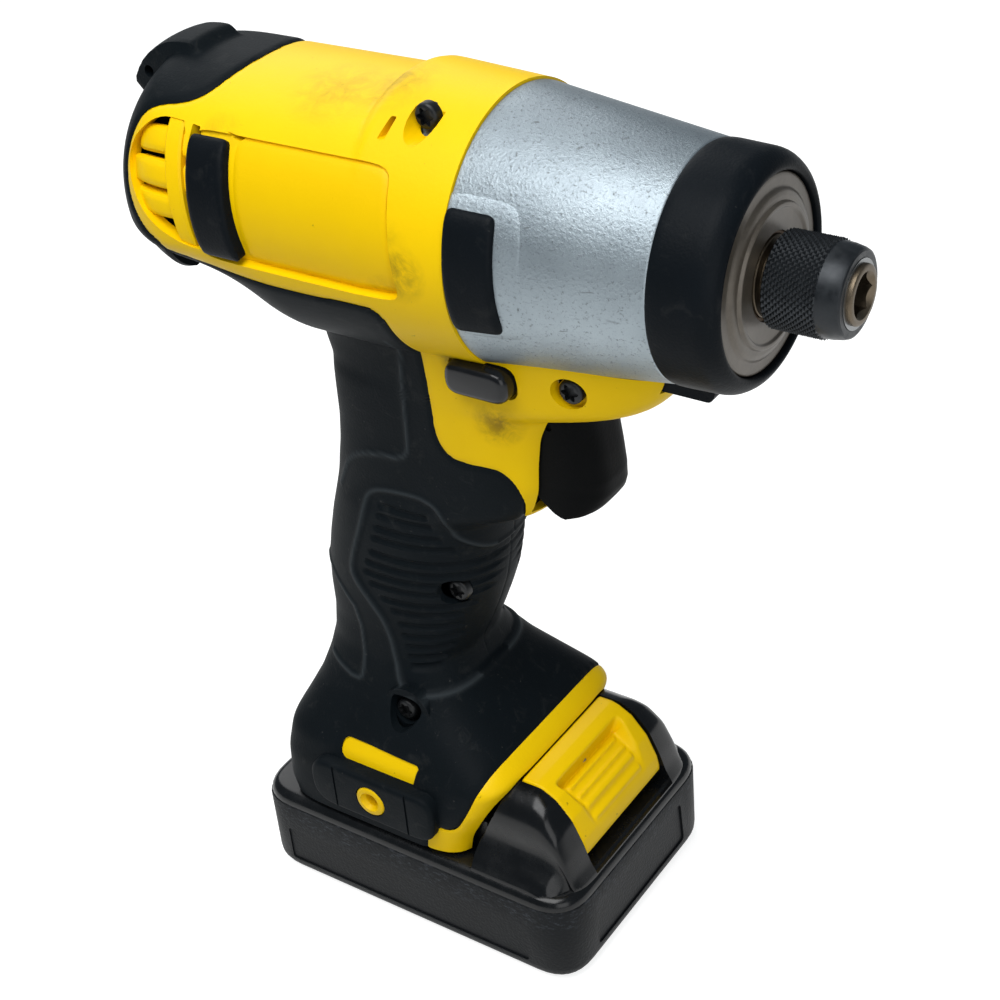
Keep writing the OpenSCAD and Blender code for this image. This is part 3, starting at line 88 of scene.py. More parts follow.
def barrel_radius(x, angle):
    """Radius of the barrel: round at the sides, flatter over the crown, domed at the rear and rising below."""
    dome = np.clip((dome_x - x) / dome_l, 0, 1)
    side = np.interp(x, [collar_x, split_x], [barrel_r, barrel_front_r]) * np.sqrt(1 - dome ** 2)
    side = side * (1 - keel_rise * step_to(x, keel_x0, keel_x1) * step_to(angle, keel_from, keel_to))
    crown = -crown_drop * np.cos(angle) + np.sqrt(crown_r ** 2 - (crown_drop * np.sin(angle)) ** 2)
    foot_x = collar_x - collar_slope
    collar = np.interp(x, [foot_x - collar_edge, foot_x + collar_edge, collar_x], [0, collar_back_r, collar_front_r])
    return soft_least(side, np.maximum(crown, collar), crease)


def on_barrel(x, angle, lift=0):
    """Points on the barrel's right side; the angle runs from the top towards the right."""
    r = barrel_radius(x, angle) + lift
    return np.stack([x + 0 * r, -r * np.sin(angle), spindle_z + r * np.cos(angle)], -1)


def walled(outer, inner):
    """A closed wall: a grid of faces laid on rows of points and extruded to the inner rows."""
    rows, columns = outer.shape[:2]
    bm = bmesh.new()
    bmesh.ops.create_grid(bm, x_segments=columns - 1, y_segments=rows - 1, size=0.5)
    far_side = bmesh.ops.extrude_face_region(bm, geom=bm.faces[:])["geom"]
    for v in far_side:
        if isinstance(v, bmesh.types.BMVert):
            v.co.z = 1
    for v in bm.verts:
        row, column = round((v.co.y + 0.5) * (rows - 1)), round((v.co.x + 0.5) * (columns - 1))
        v.co = (inner if v.co.z > 0.5 else outer)[row, column]
    bmesh.ops.remove_doubles(bm, verts=bm.verts, dist=1e-4)
    bmesh.ops.recalc_face_normals(bm, faces=bm.faces)
    return bm


def eased(points, times=2):
    """A closed outline with its corners cut, so that it runs as a curve."""
    points = np.array(points, float)
    for _ in range(times):
        ahead = np.roll(points, -1, axis=0)
        points = np.stack([points * 0.75 + ahead * 0.25, points * 0.25 + ahead * 0.75], 1).reshape(-1, 2)
    return points


def filleted(points, radius, steps=4):
    """A closed outline with each corner rounded; radius is one number or one for each corner."""
    points = np.array(points, float)
    radii = np.broadcast_to(radius, len(points))
    result = []
    for before, corner, after, r in zip(np.roll(points, 1, axis=0), points, np.roll(points, -1, axis=0), radii):
        legs = [before - corner, after - corner]
        lengths = [np.linalg.norm(leg) for leg in legs]
        if r == 0:
            result.append(corner)
            continue
        start, end = [corner + leg * min(r / length, 0.48) for leg, length in zip(legs, lengths)]
        for t in np.linspace(0, 1, steps + 1):
            result.append((1 - t) ** 2 * start + 2 * t * (1 - t) * corner + t ** 2 * end)
    return np.array(result)


def prism(outline, start, end, axis="y"):
    """A closed outline extruded straight through: seen from the side (x, z), above (x, y) or the front (y, z)."""
    lay = {"y": lambda p: (p[0], start, p[1]), "z": lambda p: (p[0], p[1], start), "x": lambda p: (start, p[0], p[1])}
    bm = bmesh.new()
    face = bm.faces.new([bm.verts.new(lay[axis](p)) for p in outline])
    moved = [v for v in bmesh.ops.extrude_face_region(bm, geom=[face])["geom"] if isinstance(v, bmesh.types.BMVert)]
    way = {"x": (end - start, 0, 0), "y": (0, end - start, 0), "z": (0, 0, end - start)}[axis]
    bmesh.ops.translate(bm, vec=way, verts=moved)
    bmesh.ops.recalc_face_normals(bm, faces=bm.faces)
    return bm


def joined(*parts):
    """Several meshes as the parts of one moulding."""
    whole = bmesh.new()
    for part in parts:
        mesh = bpy.data.meshes.new("part")
        part.to_mesh(mesh)
        part.free()
        whole.from_mesh(mesh)
        bpy.data.meshes.remove(mesh)
    return whole


def cut(bm, *tools, how="DIFFERENCE"):
    """The mesh after each tool has been taken out of it, or kept to, or added."""
    rough = []
    for part in (bm, *tools):
        mesh = bpy.data.meshes.new("rough")
        part.to_mesh(mesh)
        part.free()
        rough.append(bpy.data.objects.new("rough", mesh))
        bpy.context.collection.objects.link(rough[-1])
    for tool in rough[1:]:
        step = rough[0].modifiers.new("cut", "BOOLEAN")
        step.operation, step.object, step.solver = how, tool, "MANIFOLD"
    done = bpy.data.meshes.new_from_object(rough[0].evaluated_get(bpy.context.evaluated_depsgraph_get()))
    result = bmesh.new()
    result.from_mesh(done)
    for spent in rough:
        bpy.data.meshes.remove(spent.data)
    bpy.data.meshes.remove(done)
    return result


def mirrored(bm):
    """The left-hand copy of a right-hand mesh."""
    copy = bm.copy()
    bmesh.ops.scale(copy, vec=(1, -1, 1), verts=copy.verts)
    bmesh.ops.reverse_faces(copy, faces=copy.faces)
    return copy


def on_side(side, right_half):
    """A right-hand mesh as it is, or its left-hand copy."""
    return right_half if side == "right" else mirrored(right_half)


def fitted(name, bm, material, body, slot, *nodes, sharp=32):
    """Fits a finished mesh on its body, in metres, with its material, in place of the CAD nodes it stands for."""
    bmesh.ops.scale(bm, vec=(0.001, 0.001, 0.001), verts=bm.verts)
    mesh = bpy.data.meshes.new(name)
    bm.to_mesh(mesh)
    bm.free()
    mesh.polygons.foreach_set("use_smooth", [True] * len(mesh.polygons))
    mesh.set_sharp_from_angle(angle=radians(sharp))
    mesh.materials.append(material)
    piece = bpy.data.objects.new(name, mesh)
    bpy.context.collection.objects.link(piece)
    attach(piece, body)
    if nodes:
        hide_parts(*nodes)
    return piece


def linear(code):
    """An sRGB hex colour as the linear values that a shader takes."""
    parts = [int(code[i:i + 2], 16) / 255 for i in (1, 3, 5)]
    return (*[c / 12.92 if c <= 0.04045 else ((c + 0.055) / 1.055) ** 2.4 for c in parts], 1)


def fill(node, sockets):
    """Sets a node's sockets; a value is a number, a colour or the output that feeds it."""
    for key, value in sockets.items():
        if isinstance(value, bpy.types.NodeSocket):
            node.id_data.links.new(value, node.inputs[key])
        else:
            node.inputs[key].default_value = value


def add(tree, kind, sockets={}, **settings):
    """Adds a node with its settings and links."""
    node = tree.nodes.new("ShaderNode" + kind)
    for key, value in settings.items():
        setattr(node, key, value)
    fill(node, sockets)
    return node


def new_finish(name, values):
    """A material with its shader's constants set; gives the material, its nodes, shader and Object coordinates."""
    material = bpy.data.materials.new(name)
    material.use_nodes = True
    tree = material.node_tree
    shader = tree.nodes["Principled BSDF"]
    fill(shader, values)
    return material, tree, shader, add(tree, "TexCoord").outputs["Object"]


def clouded(tree, coords, dark, light, scale, detail, roughness):
    """Two tones that run together in clouds; gives the clouds and the colour."""
    cloud = add(tree, "TexNoise", {"Vector": coords, "Scale": scale, "Detail": detail, "Roughness": roughness})
    tone = add(tree, "Mix", {0: cloud.outputs["Fac"], 6: linear(dark), 7: linear(light)}, data_type="RGBA")
    return cloud.outputs["Fac"], tone.outputs[2]


def grained(tree, coords, size, detail, strength, depth=0.4):
    """The grain of a moulded skin, its size and depth in millimetres; gives the normal."""
    grain = add(tree, "TexNoise", {"Vector": coords, "Scale": 1000 / size, "Detail": detail})
    bump = add(tree, "Bump", {"Height": grain.outputs["Fac"], "Strength": strength, "Distance": depth / 1000})
    return bump.outputs[0]


def yellow_abs(name, light, dark, roughness, marks):
    """Moulded ABS: an even strong yellow, spark-textured, a little mottled, with grime rubbed in at the marks."""
    constants = {"Roughness": roughness, "IOR": 1.54, "Specular IOR Level": 0.12}
    material, tree, shader, coords = new_finish(name, constants)
    _, tone = clouded(tree, coords, dark, light, 55, 5, 0.6)
    speck = add(tree, "TexNoise", {"Vector": coords, "Scale": 420, "Detail": 4, "Roughness": 0.7})
    speck_share = add(tree, "MapRange", {"Value": speck.outputs["Fac"], 1: 0.685, 2: 0.74, 3: 0, 4: 0.5})
    smear = add(tree, "TexNoise", {"Vector": coords, "Scale": 260, "Detail": 7, "Roughness": 0.75, "Distortion": 0.6})
    cloud = add(tree, "MapRange", {"Value": smear.outputs["Fac"], 1: 0.36, 2: 0.62})
    dirty = speck_share.outputs[0]
    for place, size, depth in marks:
        # The grime reaches its full depth a quarter of the mark's size from its middle
        near = add(tree, "VectorMath", {0: coords, 1: [c / 1000 for c in place]}, operation="DISTANCE")
        patch = add(tree, "MapRange",
            {"Value": near.outputs["Value"], 1: size / 1000, 2: size / 4000, 3: 0, 4: depth})
        rubbed_and_highlight = add(tree, "Math", {0: patch.outputs[0], 1: cloud.outputs[0]}, operation="MULTIPLY")
        dirty = add(tree, "Math", {0: dirty, 1: rubbed_and_highlight.outputs[0]}, operation="MAXIMUM").outputs[0]
    grimed = add(tree, "Mix", {0: dirty, 6: tone, 7: linear("#4a3413")}, data_type="RGBA")
    # Spark texture about 0.4 mm apart, drawn at 0.6 mm so that it shows
    grain = grained(tree, coords, 0.6, 3, 0.10)
    fill(shader, {"Base Color": grimed.outputs[2], "Normal": grain})
    return material


housing_yellow = yellow_abs("abs_moulded_yellow", "#f8cf00", "#efc100", 0.45, [
    ((17, -16, 137.5), 4, 0.7), ((24.5, -15, 124), 6, 0.7), ((20, -15.5, 118.6), 1.3, 0.95),
    ((15, -25.5, 158), 6, 0.6), ((-8, -8, 183), 11, 0.35), ((3, -6, 183), 9, 0.45), ((-26, -20, 174), 5, 0.3),
    ((12, -24, 162), 6, 0.3)])

# Outlines in the side view: the rear bumper, the rubber under the barrel, the trigger's surround, the band over
# the foot's front and the insert in the foot's side
bumper_line = eased([(-24, 205), (-26.4, 183.9), (-29.6, 182), (-31.4, 180.4), (-33.2, 178.4), (-36.8, 177.1),
    (-42.8, 176.3), (-46.6, 174.1), (-48.8, 170), (-49.4, 165), (-48.2, 159.9), (-45.6, 156), (-42, 153.4),
    (-40, 153), (-40, 110), (-80, 110), (-80, 205)])
under_line = eased([(-42, 151.4), (-38, 150.2), (-30, 149.2), (-8, 148.7), (6, 149.7), (8.8, 148.4), (9.6, 144),
    (9.6, 110), (-42, 110)])
window_line = eased([(9.6, 153), (10, 124.6), (9.8, 119.1), (11.6, 115), (15, 113.8), (21.6, 113.9), (24, 112.4),
    (25.6, 109.4), (26.2, 105.3), (24.8, 101.4), (21.4, 98.1), (64, 97.8), (64, 153)])
band_line = eased([(40, 44.3), (19.6, 44.3), (18.7, 43.3), (17.8, 41), (16.2, 36.9), (14.1, 32.5), (12.6, 30.4),
    (10.8, 29.8), (9.1, 30.1), (8.2, 29.1), (5.3, 26.3), (5.3, 15), (40, 15)], 1)
slot_line = filleted([(-16.3, 38), (2.4, 37.5), (3.4, 42.2), (-16.3, 42.8)], [2.3, 0.9, 0.7, 2.3], 6)

# Barrel: a walled dome and tube, less the seats of the rubber, the vents, the side panel and the screws
arc = np.linspace(0, pi / 2, 60)
spine_x = np.concatenate([dome_x - dome_l * np.cos(arc[3:]), np.linspace(dome_x, split_x, 88)[1:]])
turn = np.linspace(pi, 0, 130)
barrel_points, barrel_inner = [on_barrel(spine_x[:, None], turn[None, :], -depth) for depth in (0, barrel_wall)]


def gap_to(points, line):
    """Distance in the side view from points to a closed outline, negative inside it."""
    p = points[..., [0, 2]][..., None, :]
    a, b = line, np.roll(line, -1, axis=0)
    step = b - a
    t = np.clip(((p - a) * step).sum(-1) / (step ** 2).sum(-1), 0, 1)
    away = np.sqrt(((p - a - t[..., None] * step) ** 2).sum(-1).min(-1))
    crossing = ((a[:, 1] > p[..., 1]) != (b[:, 1] > p[..., 1]))
    slope = step[:, 0] / np.where(step[:, 1] == 0, 1e-9, step[:, 1])
    inside = (crossing & (p[..., 0] < a[:, 0] + (p[..., 1] - a[:, 1]) * slope)).sum(-1) % 2 == 1
    return np.where(inside, -away, away)


def lifted(points, height):
    """Points raised along the surface's own normals."""
    out = np.cross(np.gradient(points, axis=0), np.gradient(points, axis=1))
    out /= np.maximum(np.linalg.norm(out, axis=-1, keepdims=True), 1e-9)
    return points + out * np.broadcast_to(height, points.shape[:2])[..., None]


def rolled(gap, width, drop):
    """How far a surface falls as it rolls over an edge at gap 0."""
    share = np.clip(1 - gap / width, 0, 1)
    return -drop * (1 - np.sqrt(1 - share ** 2 * 0.999))


def panel(surface, x0, x1, angle0, angle1, lift, thickness, lean=0, squareness=6, roll=None, count=(24, 40)):
    """A slab with round corners laid on a surface. Lift is its height, and lean how far x shifts from its top to
    its bottom. Roll gives the share of its half width and the depth over which its edges fall away."""
    u, v = np.meshgrid(np.linspace(-1, 1, count[0]), np.linspace(-1, 1, count[1]))
    reach = np.maximum(np.maximum(abs(u), abs(v)), 1e-9)
    corner = ((abs(u) / reach) ** squareness + (abs(v) / reach) ** squareness) ** (-1 / squareness)
    u, v = u * corner, v * corner
    # The slab's rows run from the bottom up so that its normals point outwards
    x = (x0 + x1) / 2 + u * (x1 - x0) / 2 + lean * -v / 2
    angle = np.radians((angle0 + angle1) / 2 - v * (angle1 - angle0) / 2)
    height = (lift(u, v) if callable(lift) else lift) + 0 * u
    if roll:
        height = height + rolled(1 - reach, *roll)
    outer, inner = [surface(x, angle, rise).transpose(1, 0, 2) for rise in (height, height - thickness)]
    return walled(outer, inner)


def panel_depth(u, v):
    """The side panel lies flatter than the barrel, so it sinks deeper towards its bottom edge."""
    return -0.7 - 1.2 * np.clip(0.5 - v / 2, 0, 1) ** 2


def circle(a, b, r, sides):
    """A round outline, or with few sides a regular polygon."""
    return [(a + r * cos(t), b + r * sin(t)) for t in np.linspace(0, 2 * pi, sides, endpoint=False)]


def round_pin(x, z, r, y0, y1, sides=28):
    """A round bar across the tool."""
    return prism(circle(x, z, r, sides), y0, y1)


def pocket(screw, r=3.3):
    """The round hole for a screw's head, from outside down to its seat."""
    x, z, seat = screw
    return round_pin(x, z, r, -away, -seat)


panel_x0, panel_x1, panel_top, panel_low, panel_lean = -30.6, 13.2, 50, 102, 3
vent_line = eased([(-33.8, 175.1), (-37.7, 175.3), (-40, 175.2), (-42.4, 174.4), (-44.8, 172.7), (-47.3, 170.2),
    (-48.3, 167), (-47.2, 164), (-45.3, 161.2), (-42.6, 158.4), (-39.3, 156.2), (-36, 154.7), (-32.5, 153.8),
    (-28.6, 153.6), (-29.4, 158), (-31.4, 168)], 1)
# Each screw's place in the side view, and its seat's distance from the middle plane
screw_places = [(13.9, 180.7, 10.64), (39.7, 134.6, 11.7), (8.0, 79.8, 9.0), (-3.6, 49.8, 16), (-22, 135, 8)]
crown_screw, guard_screw, palm_screw, foot_screw, rear_screw = screw_places
# Tools start well outside the tool's side, and some end a little past its middle plane
away, past_middle = 60, 0.5

# Handle: stations of height, rear, front, half width and squareness, measured up the grip from the foot
stations = np.array([
    (0.146, -0.84, 0.37, 0.853, 7), (0.171, -0.865, 0.39, 0.86, 7), (0.216, -0.87, 0.495, 0.853, 6.5),
    (0.254, -0.855, 0.575, 0.81, 6), (0.266, -0.84, 0.55, 0.77, 5.5), (0.285, -0.805, 0.445, 0.715, 4.8),
    (0.317, -0.75, 0.28, 0.615, 4), (0.349, -0.72, 0.165, 0.545, 3.2), (0.38, -0.708, 0.13, 0.50, 2.6),
    (0.418, -0.71, 0.205, 0.49, 2.4), (0.457, -0.72, 0.273, 0.50, 2.3), (0.495, -0.708, 0.328, 0.51, 2.3),
    (0.533, -0.675, 0.36, 0.512, 2.3), (0.571, -0.635, 0.38, 0.51, 2.3), (0.612, -0.58, 0.41, 0.497, 2.4),
    (0.6295, -0.558, 0.56, 0.487, 2.6), (0.641, -0.545, 0.67, 0.478, 2.8), (0.656, -0.53, 0.715, 0.469, 3),
    (0.685, -0.50, 0.748, 0.463, 3.2), (0.723, -0.48, 0.758, 0.457, 3.3), (0.761, -0.475, 0.78, 0.463, 3.3),
    (0.793, -0.48, 0.845, 0.469, 3.1), (0.805, -0.495, 1.12, 0.475, 2.8), (0.818, -0.525, 1.275, 0.481, 2.7),
    (0.837, -0.55, 1.35, 0.488, 2.6), (0.862, -0.59, 1.40, 0.50, 2.6), (0.894, -0.64, 1.425, 0.525, 2.6),
    (0.932, -0.70, 1.438, 0.562, 2.6)]) * (spindle_z, 40, 40, 32, 1)
# Steps each way over which one station runs into the next
station_blend = 12


def smoothed(column, reach, **ends):
    """A row of numbers with its corners rounded over a few steps each way; ends says how it goes on at its ends."""
    soft = np.hanning(2 * reach + 1)
    return np.convolve(np.pad(column, reach, **ends), soft / soft.sum(), "valid")


def handle_points(heights, columns, inset):
    """Rows of points round the right half of the handle, front to rear; the stations run into each other smoothly."""
    level = np.linspace(stations[0, 0], stations[-1, 0], 700)
    smooth = [smoothed(np.interp(level, stations[:, 0], stations[:, k]), station_blend, mode="edge")
        for k in range(1, 5)]
    round_half = np.linspace(0, pi, 901)
    rows = []
    for z in heights:
        rear, front, half, square = [np.interp(z, level, column) for column in smooth]
        a, half = (front - rear) / 2 - inset, half - inset
        r = (abs(np.cos(round_half) / a) ** square + abs(np.sin(round_half) / half) ** square) ** (-1 / square)
        x, y = (rear + front) / 2 + r * np.cos(round_half), -r * np.sin(round_half)
        length = np.concatenate([[0], np.cumsum(np.hypot(np.diff(x), np.diff(y)))])
        even = np.linspace(0, length[-1], columns)
        rows.append(np.stack([np.interp(even, length, x), np.interp(even, length, y), 0 * even + z], -1))
    rows = np.array(rows)
    rows[:, [0, -1], 1] = 0
    return rows


def rectangle(low_a, low_b, high_a, high_b):
    """A four-cornered outline between two corners."""
    return [(low_a, low_b), (high_a, low_b), (high_a, high_b), (low_a, high_b)]


def box(low, high):
    """A plain block between two corners, as a tool to cut with or a rib."""
    return prism(rectangle(low[0], low[2], high[0], high[2]), low[1], high[1])


def turned(profile, sides=112):
    """A closed profile of (x, radius) turned round the spindle."""
    bm = bmesh.new()
    verts = [bm.verts.new((x, 0, r)) for x, r in profile]
    edges = [bm.edges.new((a, b)) for a, b in zip(verts, verts[1:] + verts[:1])]
    bmesh.ops.spin(bm, geom=verts + edges, cent=(0, 0, 0), axis=(1, 0, 0), angle=2 * pi, steps=sides, use_merge=True)
    bmesh.ops.remove_doubles(bm, verts=bm.verts, dist=1e-4)
    bmesh.ops.recalc_face_normals(bm, faces=bm.faces)
    bmesh.ops.translate(bm, vec=(0, 0, spindle_z), verts=bm.verts)
    return bm

# A solid turned piece keeps a hair-thin bore, so that no face of it collapses on the axis
hair = 0.02
case_x, cone_back_r, cone_front_r = 60, 25.2, 20.7
room_back_r, room_front_r = 24.9, 20.9


def case_room():
    """The room that the gear case and the motor take inside the handle's top."""
    return turned([(split_x - 1, hair), (split_x - 1, room_back_r), (split_x, room_back_r), (case_x, room_front_r),
        (2 * case_x, room_front_r), (2 * case_x, hair)])


shoulder_y, shoulder_z, shoulder_r, arch_spare = 14.5, 32, 8, 0.3


def hood_arch(spare):
    """The front view of the battery's hood, and of the arch in the foot round it: upright sides, round shoulders."""
    r = shoulder_r + spare
    shoulder = [(shoulder_y + r * sin(t), shoulder_z + r * cos(t)) for t in np.linspace(0, pi / 2, 13)]
    return [(-y, z) for y, z in shoulder[::-1]] + shoulder


arch_half = shoulder_y + shoulder_r + arch_spare
arch_line = [(-arch_half, 0)] + hood_arch(arch_spare) + [(arch_half, 0)]
trigger_low, trigger_high, trigger_half = 102.85, 127.15, 8.85
trigger_mouth = filleted(rectangle(-trigger_half, trigger_low, trigger_half, trigger_high), [0.4, 0.4, 3.4, 3.4], 6)
surround_levels = np.concatenate([np.linspace(96, 112, 40), np.linspace(112.6, 146, 52)])
surround_points, surround_inner = [handle_points(surround_levels, 120, inset) for inset in (0, 3)]
foot_points, foot_inner = [handle_points(np.linspace(23.2, 49, 60), 110, inset) for inset in (0, 3)]
panel_cut = 4


def framed(points, inner, line):
    """The part of a wall inside an outline, a touch below the rubber round it, with its edge rolled."""
    outer = lifted(points, rolled(-gap_to(points, line), 0.6, 0.3) - 0.1)
    return cut(walled(outer, inner), prism(line, -away, 0), how="INTERSECT")


for side in ("right", "left"):
    gap = np.minimum(gap_to(barrel_points, bumper_line), gap_to(barrel_points, under_line))
    tools = [prism(bumper_line, -away, 10), prism(under_line, -away, 10),
        panel(on_barrel, panel_x0, panel_x1, panel_top, panel_low, lambda u, v: panel_depth(u, v) + panel_cut,
            panel_cut, panel_lean, 14),
        prism(vent_line, -away, -8),
        prism(filleted([(7.0, 177.6), (8.5, 177.6), (8.8, 180.4), (7.7, 180.4)], 0.3), -away, -4),
        prism(filleted([(-32.6, 175), (-30.6, 174.8), (-30.6, 171), (-32, 171)], 0.3), -away, -12),
        prism([(-24.4, 174.9), (-20.2, 174.4), (-21.4, 173.6), (-23, 173.8)], -away, -12)]
    if side == "right":
        tools.append(prism(eased([(10.6, 181.2), (12.4, 184), (15.4, 184.4), (17, 182.6), (16.9, 179.5), (14.4, 177),
            (11.6, 178)]), -away, -crown_screw[2]))
    barrel = cut(walled(lifted(barrel_points, rolled(gap, 0.7, 0.35)), barrel_inner), *tools)
    # Slats across the vents, and the upright bar that they run into
    slats = [panel(on_barrel, x0, -31.5, low, high, -0.9, 2.4, 1, 8, (0.7, 1.2), (30, 12))
        for x0, low, high in ((-47.5, 50.5, 62.9), (-49, 65, 77.3), (-46.5, 79.3, 90))]
    slats.append(panel(on_barrel, -37.0, -33.2, 42, 100, -0.25, 2.6, 4.6, 10, (0.3, 0.4), (10, 40)))
    # Surround of the trigger, with the mouths of the trigger, the direction bar and the light's lead
    openings = [case_room(), prism(trigger_mouth, 12, 44, "x"),
        prism(filleted(rectangle(15.8, 130.9, 30, 138.3), 3), -away, -9), box((52.8, -6.4, 134.2), (90, 5, 160))]
    if side == "right":
        openings.append(pocket(guard_screw))
    surround = cut(framed(surround_points, surround_inner, window_line), *openings)
    # Band over the foot, and the insert in the foot's side
    band = cut(framed(foot_points, foot_inner, band_line), prism(arch_line, 4, 60, "x"))
    insert = cut(walled(lifted(foot_points, -0.7), foot_inner), prism(slot_line, -away, 0), how="INTERSECT")
    # Rail under the foot that the battery's flange slides on
    rail = box((-28, -24.96, 24.4), (10, -16.96, 26.6))
    half = joined(barrel, *slats, surround, band, insert, rail)
    fitted("casing_" + side, on_side(side, half), housing_yellow, "tool", "housing_yellow", "housing_" + side)

# ---- Side panels ------------------------------------------------------------------------------
# Thin plain plates of yellow sheet, bonded in the shallow seat on each side of the barrel.
# They are smoother than the moulding round them and show a little wear at the rim.
plate_yellow = yellow_abs("sheet_smooth_yellow", "#f1c600", "#eabd00", 0.4, [((11, -25, 152), 5, 0.5)])
right_plate = panel(on_barrel, -20.6, 12.6, panel_top + 1.2, panel_low - 1.4, lambda u, v: panel_depth(u, v) + 0.45,
    0.6, panel_lean - 0.6, 16, (0.02, 0.2), (50, 40))
fitted("panel_plates", joined(mirrored(right_plate), right_plate), plate_yellow, "tool", "side_plate", "side_plates")

# ---- Rubber grip ------------------------------------------------------------------------------
# Soft black rubber moulded over each housing half: the handle, the foot and the underside of the barrel.
# The palm has level grooves in a sunk panel, and raised lines mark the thumb's and the heel's places.


def matte_rubber(name, light, dark, roughness, dust):
    """Moulded elastomer: near black with a cool cast, a fine matte skin, and pale dust on the high places."""
    constants = {"Roughness": roughness, "IOR": 1.5, "Specular IOR Level": 0.06}
    material, tree, shader, coords = new_finish(name, constants)
    _, tone = clouded(tree, coords, dark, light, 70, 6, 0.65)
    smear = add(tree, "TexNoise", {"Vector": coords, "Scale": 210, "Detail": 8, "Roughness": 0.7, "Distortion": 0.8})
    film = add(tree, "MapRange", {"Value": smear.outputs["Fac"], 1: 0.56, 2: 0.80, 3: 0, 4: dust})
    speck = add(tree, "TexNoise", {"Vector": coords, "Scale": 900, "Detail": 2})
    fleck = add(tree, "MapRange", {"Value": speck.outputs["Fac"], 1: 0.735, 2: 0.775, 3: 0, 4: dust * 1.5})
    dusty = add(tree, "Math", {0: film.outputs[0], 1: fleck.outputs[0]}, operation="MAXIMUM")
    skin = add(tree, "Mix", {0: dusty.outputs[0], 6: tone, 7: linear("#4d4d4b")}, data_type="RGBA")
    # The raised lines and the palm panel's rim are painted paler, a painted highlight where they catch the light; the
    # attribute says where they run
    line = add(tree, "Attribute", attribute_name="rubbed_and_highlight")
    line_highlight = add(tree, "Mix", {0: line.outputs["Fac"], 6: skin.outputs[2], 7: linear("#303538")}, data_type="RGBA")
    # Skin grain about 0.3 mm, drawn at 0.5 mm so that it shows
    grain = grained(tree, coords, 0.5, 3, 0.16)
    fill(shader, {"Base Color": line_highlight.outputs[2], "Normal": grain})
    return material


def softened(bm, on_rim, offset, segments):
    """Rounds the edges of one rim, those whose two ends on_rim picks out."""
    rim = [e for e in bm.edges if all(on_rim(v.co) for v in e.verts)]
    bmesh.ops.bevel(bm, geom=rim, offset=offset, segments=segments, profile=0.5, affect="EDGES", material=-1)


grip_rubber = matte_rubber("elastomer_matte_black", "#10161a", "#0a0f12", 0.56, 0.22)

# Outline of the palm's sunk panel, and the raised lines at the thumb and the heel
palm_line = eased([(14.7, 89.3), (13.7, 90), (12.4, 91.6), (10.8, 93.4), (9.7, 95), (9.6, 98.8), (8.3, 101.5),
    (6.5, 102.4), (4, 102.9), (-1.1, 102.6), (-5.2, 101.9), (-7.3, 100.7), (-8.4, 99.2), (-9.7, 94.4), (-11.8, 88.7),
    (-13.6, 84.2), (-14.5, 80.5), (-12.9, 77.9), (-10, 74.3), (-7.6, 70.6), (-6.6, 67), (-6.1, 63.7), (-5.7, 60.3),
    (-4.9, 57.1), (-3.8, 55.4), (-2.2, 54.8), (0.6, 54.7), (3.3, 54.9), (5.2, 55), (30, 55), (30, 89)])
there_and_back = lambda line: np.array(line + line[-2:0:-1], float)
thumb_line = there_and_back([(5.6, 140), (4.1, 129.1), (3.6, 122), (3.2, 115.3), (2.9, 113.2), (1.8, 111.7),
    (-0.2, 110.9), (-4.2, 110.5), (-7.9, 109.6), (-11.2, 108), (-13.7, 105.7), (-15.8, 101.9), (-17.2, 98.9)])
heel_line = there_and_back([(-25, 78.6), (-21.7, 76.4), (-18.8, 74.3), (-15.4, 71.3), (-14.3, 66.9), (-14.1, 61.6),
    (-14.1, 56.8), (-14.4, 54.9), (-15.2, 54.2), (-17.1, 54.3), (-19.2, 54.9), (-24, 56.2)])
# Height, rear end and front end of each groove
grooves = [(98.7, -4.9, 5.1), (96.3, -5.6, 5.6), (93.3, -6.6, 7), (90.7, -7.5, 9.2), (87, -8.6, 14.1),
    (84.2, -10, 13.6), (81.5, -10.8, 13), (78.9, -9.8, 12.1), (75.8, -7.2, 9.9), (73.2, -5.1, 7.4), (70, -3.9, 6.6),
    (67, -3.5, 5.9), (64.2, -3, 4.2), (61.6, -2.8, 2.6), (59.4, -2.4, 2)]
palm_depth, palm_rim, groove_depth, groove_half, line_rise, line_half = 0.5, 0.22, 0.6, 0.85, 0.30, 0.5
rubber_depth, socket_r = 1.3, 3.75
hook_x, hook_z, hook_half, hook_h, hook_face = -6.8, 32.3, 15.9, 11.6, 29.8

# The handle's rows lie closest together over the palm
handle_levels = np.concatenate([np.linspace(23.1, 53, 44)[:-1], np.linspace(53, 105, 165)[:-1],
    np.linspace(105, 146.5, 58)])
skin_points, skin_inner = [handle_points(handle_levels, 124, inset) for inset in (0, 2)]
palm_gap = gap_to(skin_points, palm_line)
relief = -palm_depth * step_to(-palm_gap, -0.27, 0.63) + palm_rim * np.exp(-((palm_gap - 0.5) / 0.55) ** 2)
for z, rear, front in grooves:
    away_from = np.hypot(skin_points[..., 2] - z, skin_points[..., 0] - np.clip(skin_points[..., 0], rear, front))
    relief -= groove_depth * np.clip(1 - (away_from / groove_half) ** 2, 0, 1)
for line in (thumb_line, heel_line):
    relief += line_rise * np.exp(-(gap_to(skin_points, line) / line_half) ** 2)
edge_gap = np.min([gap_to(skin_points, line) for line in (window_line, band_line, slot_line)], axis=0)
relief += rolled(edge_gap, 1.0, 0.6) + rolled(abs(skin_points[..., 1]), 0.5, 0.12)
under_gap = np.minimum(-gap_to(barrel_points, under_line), gap_to(barrel_points, bumper_line))
under_points = lifted(barrel_points, 0.25 + rolled(under_gap, 1.0, 0.55))

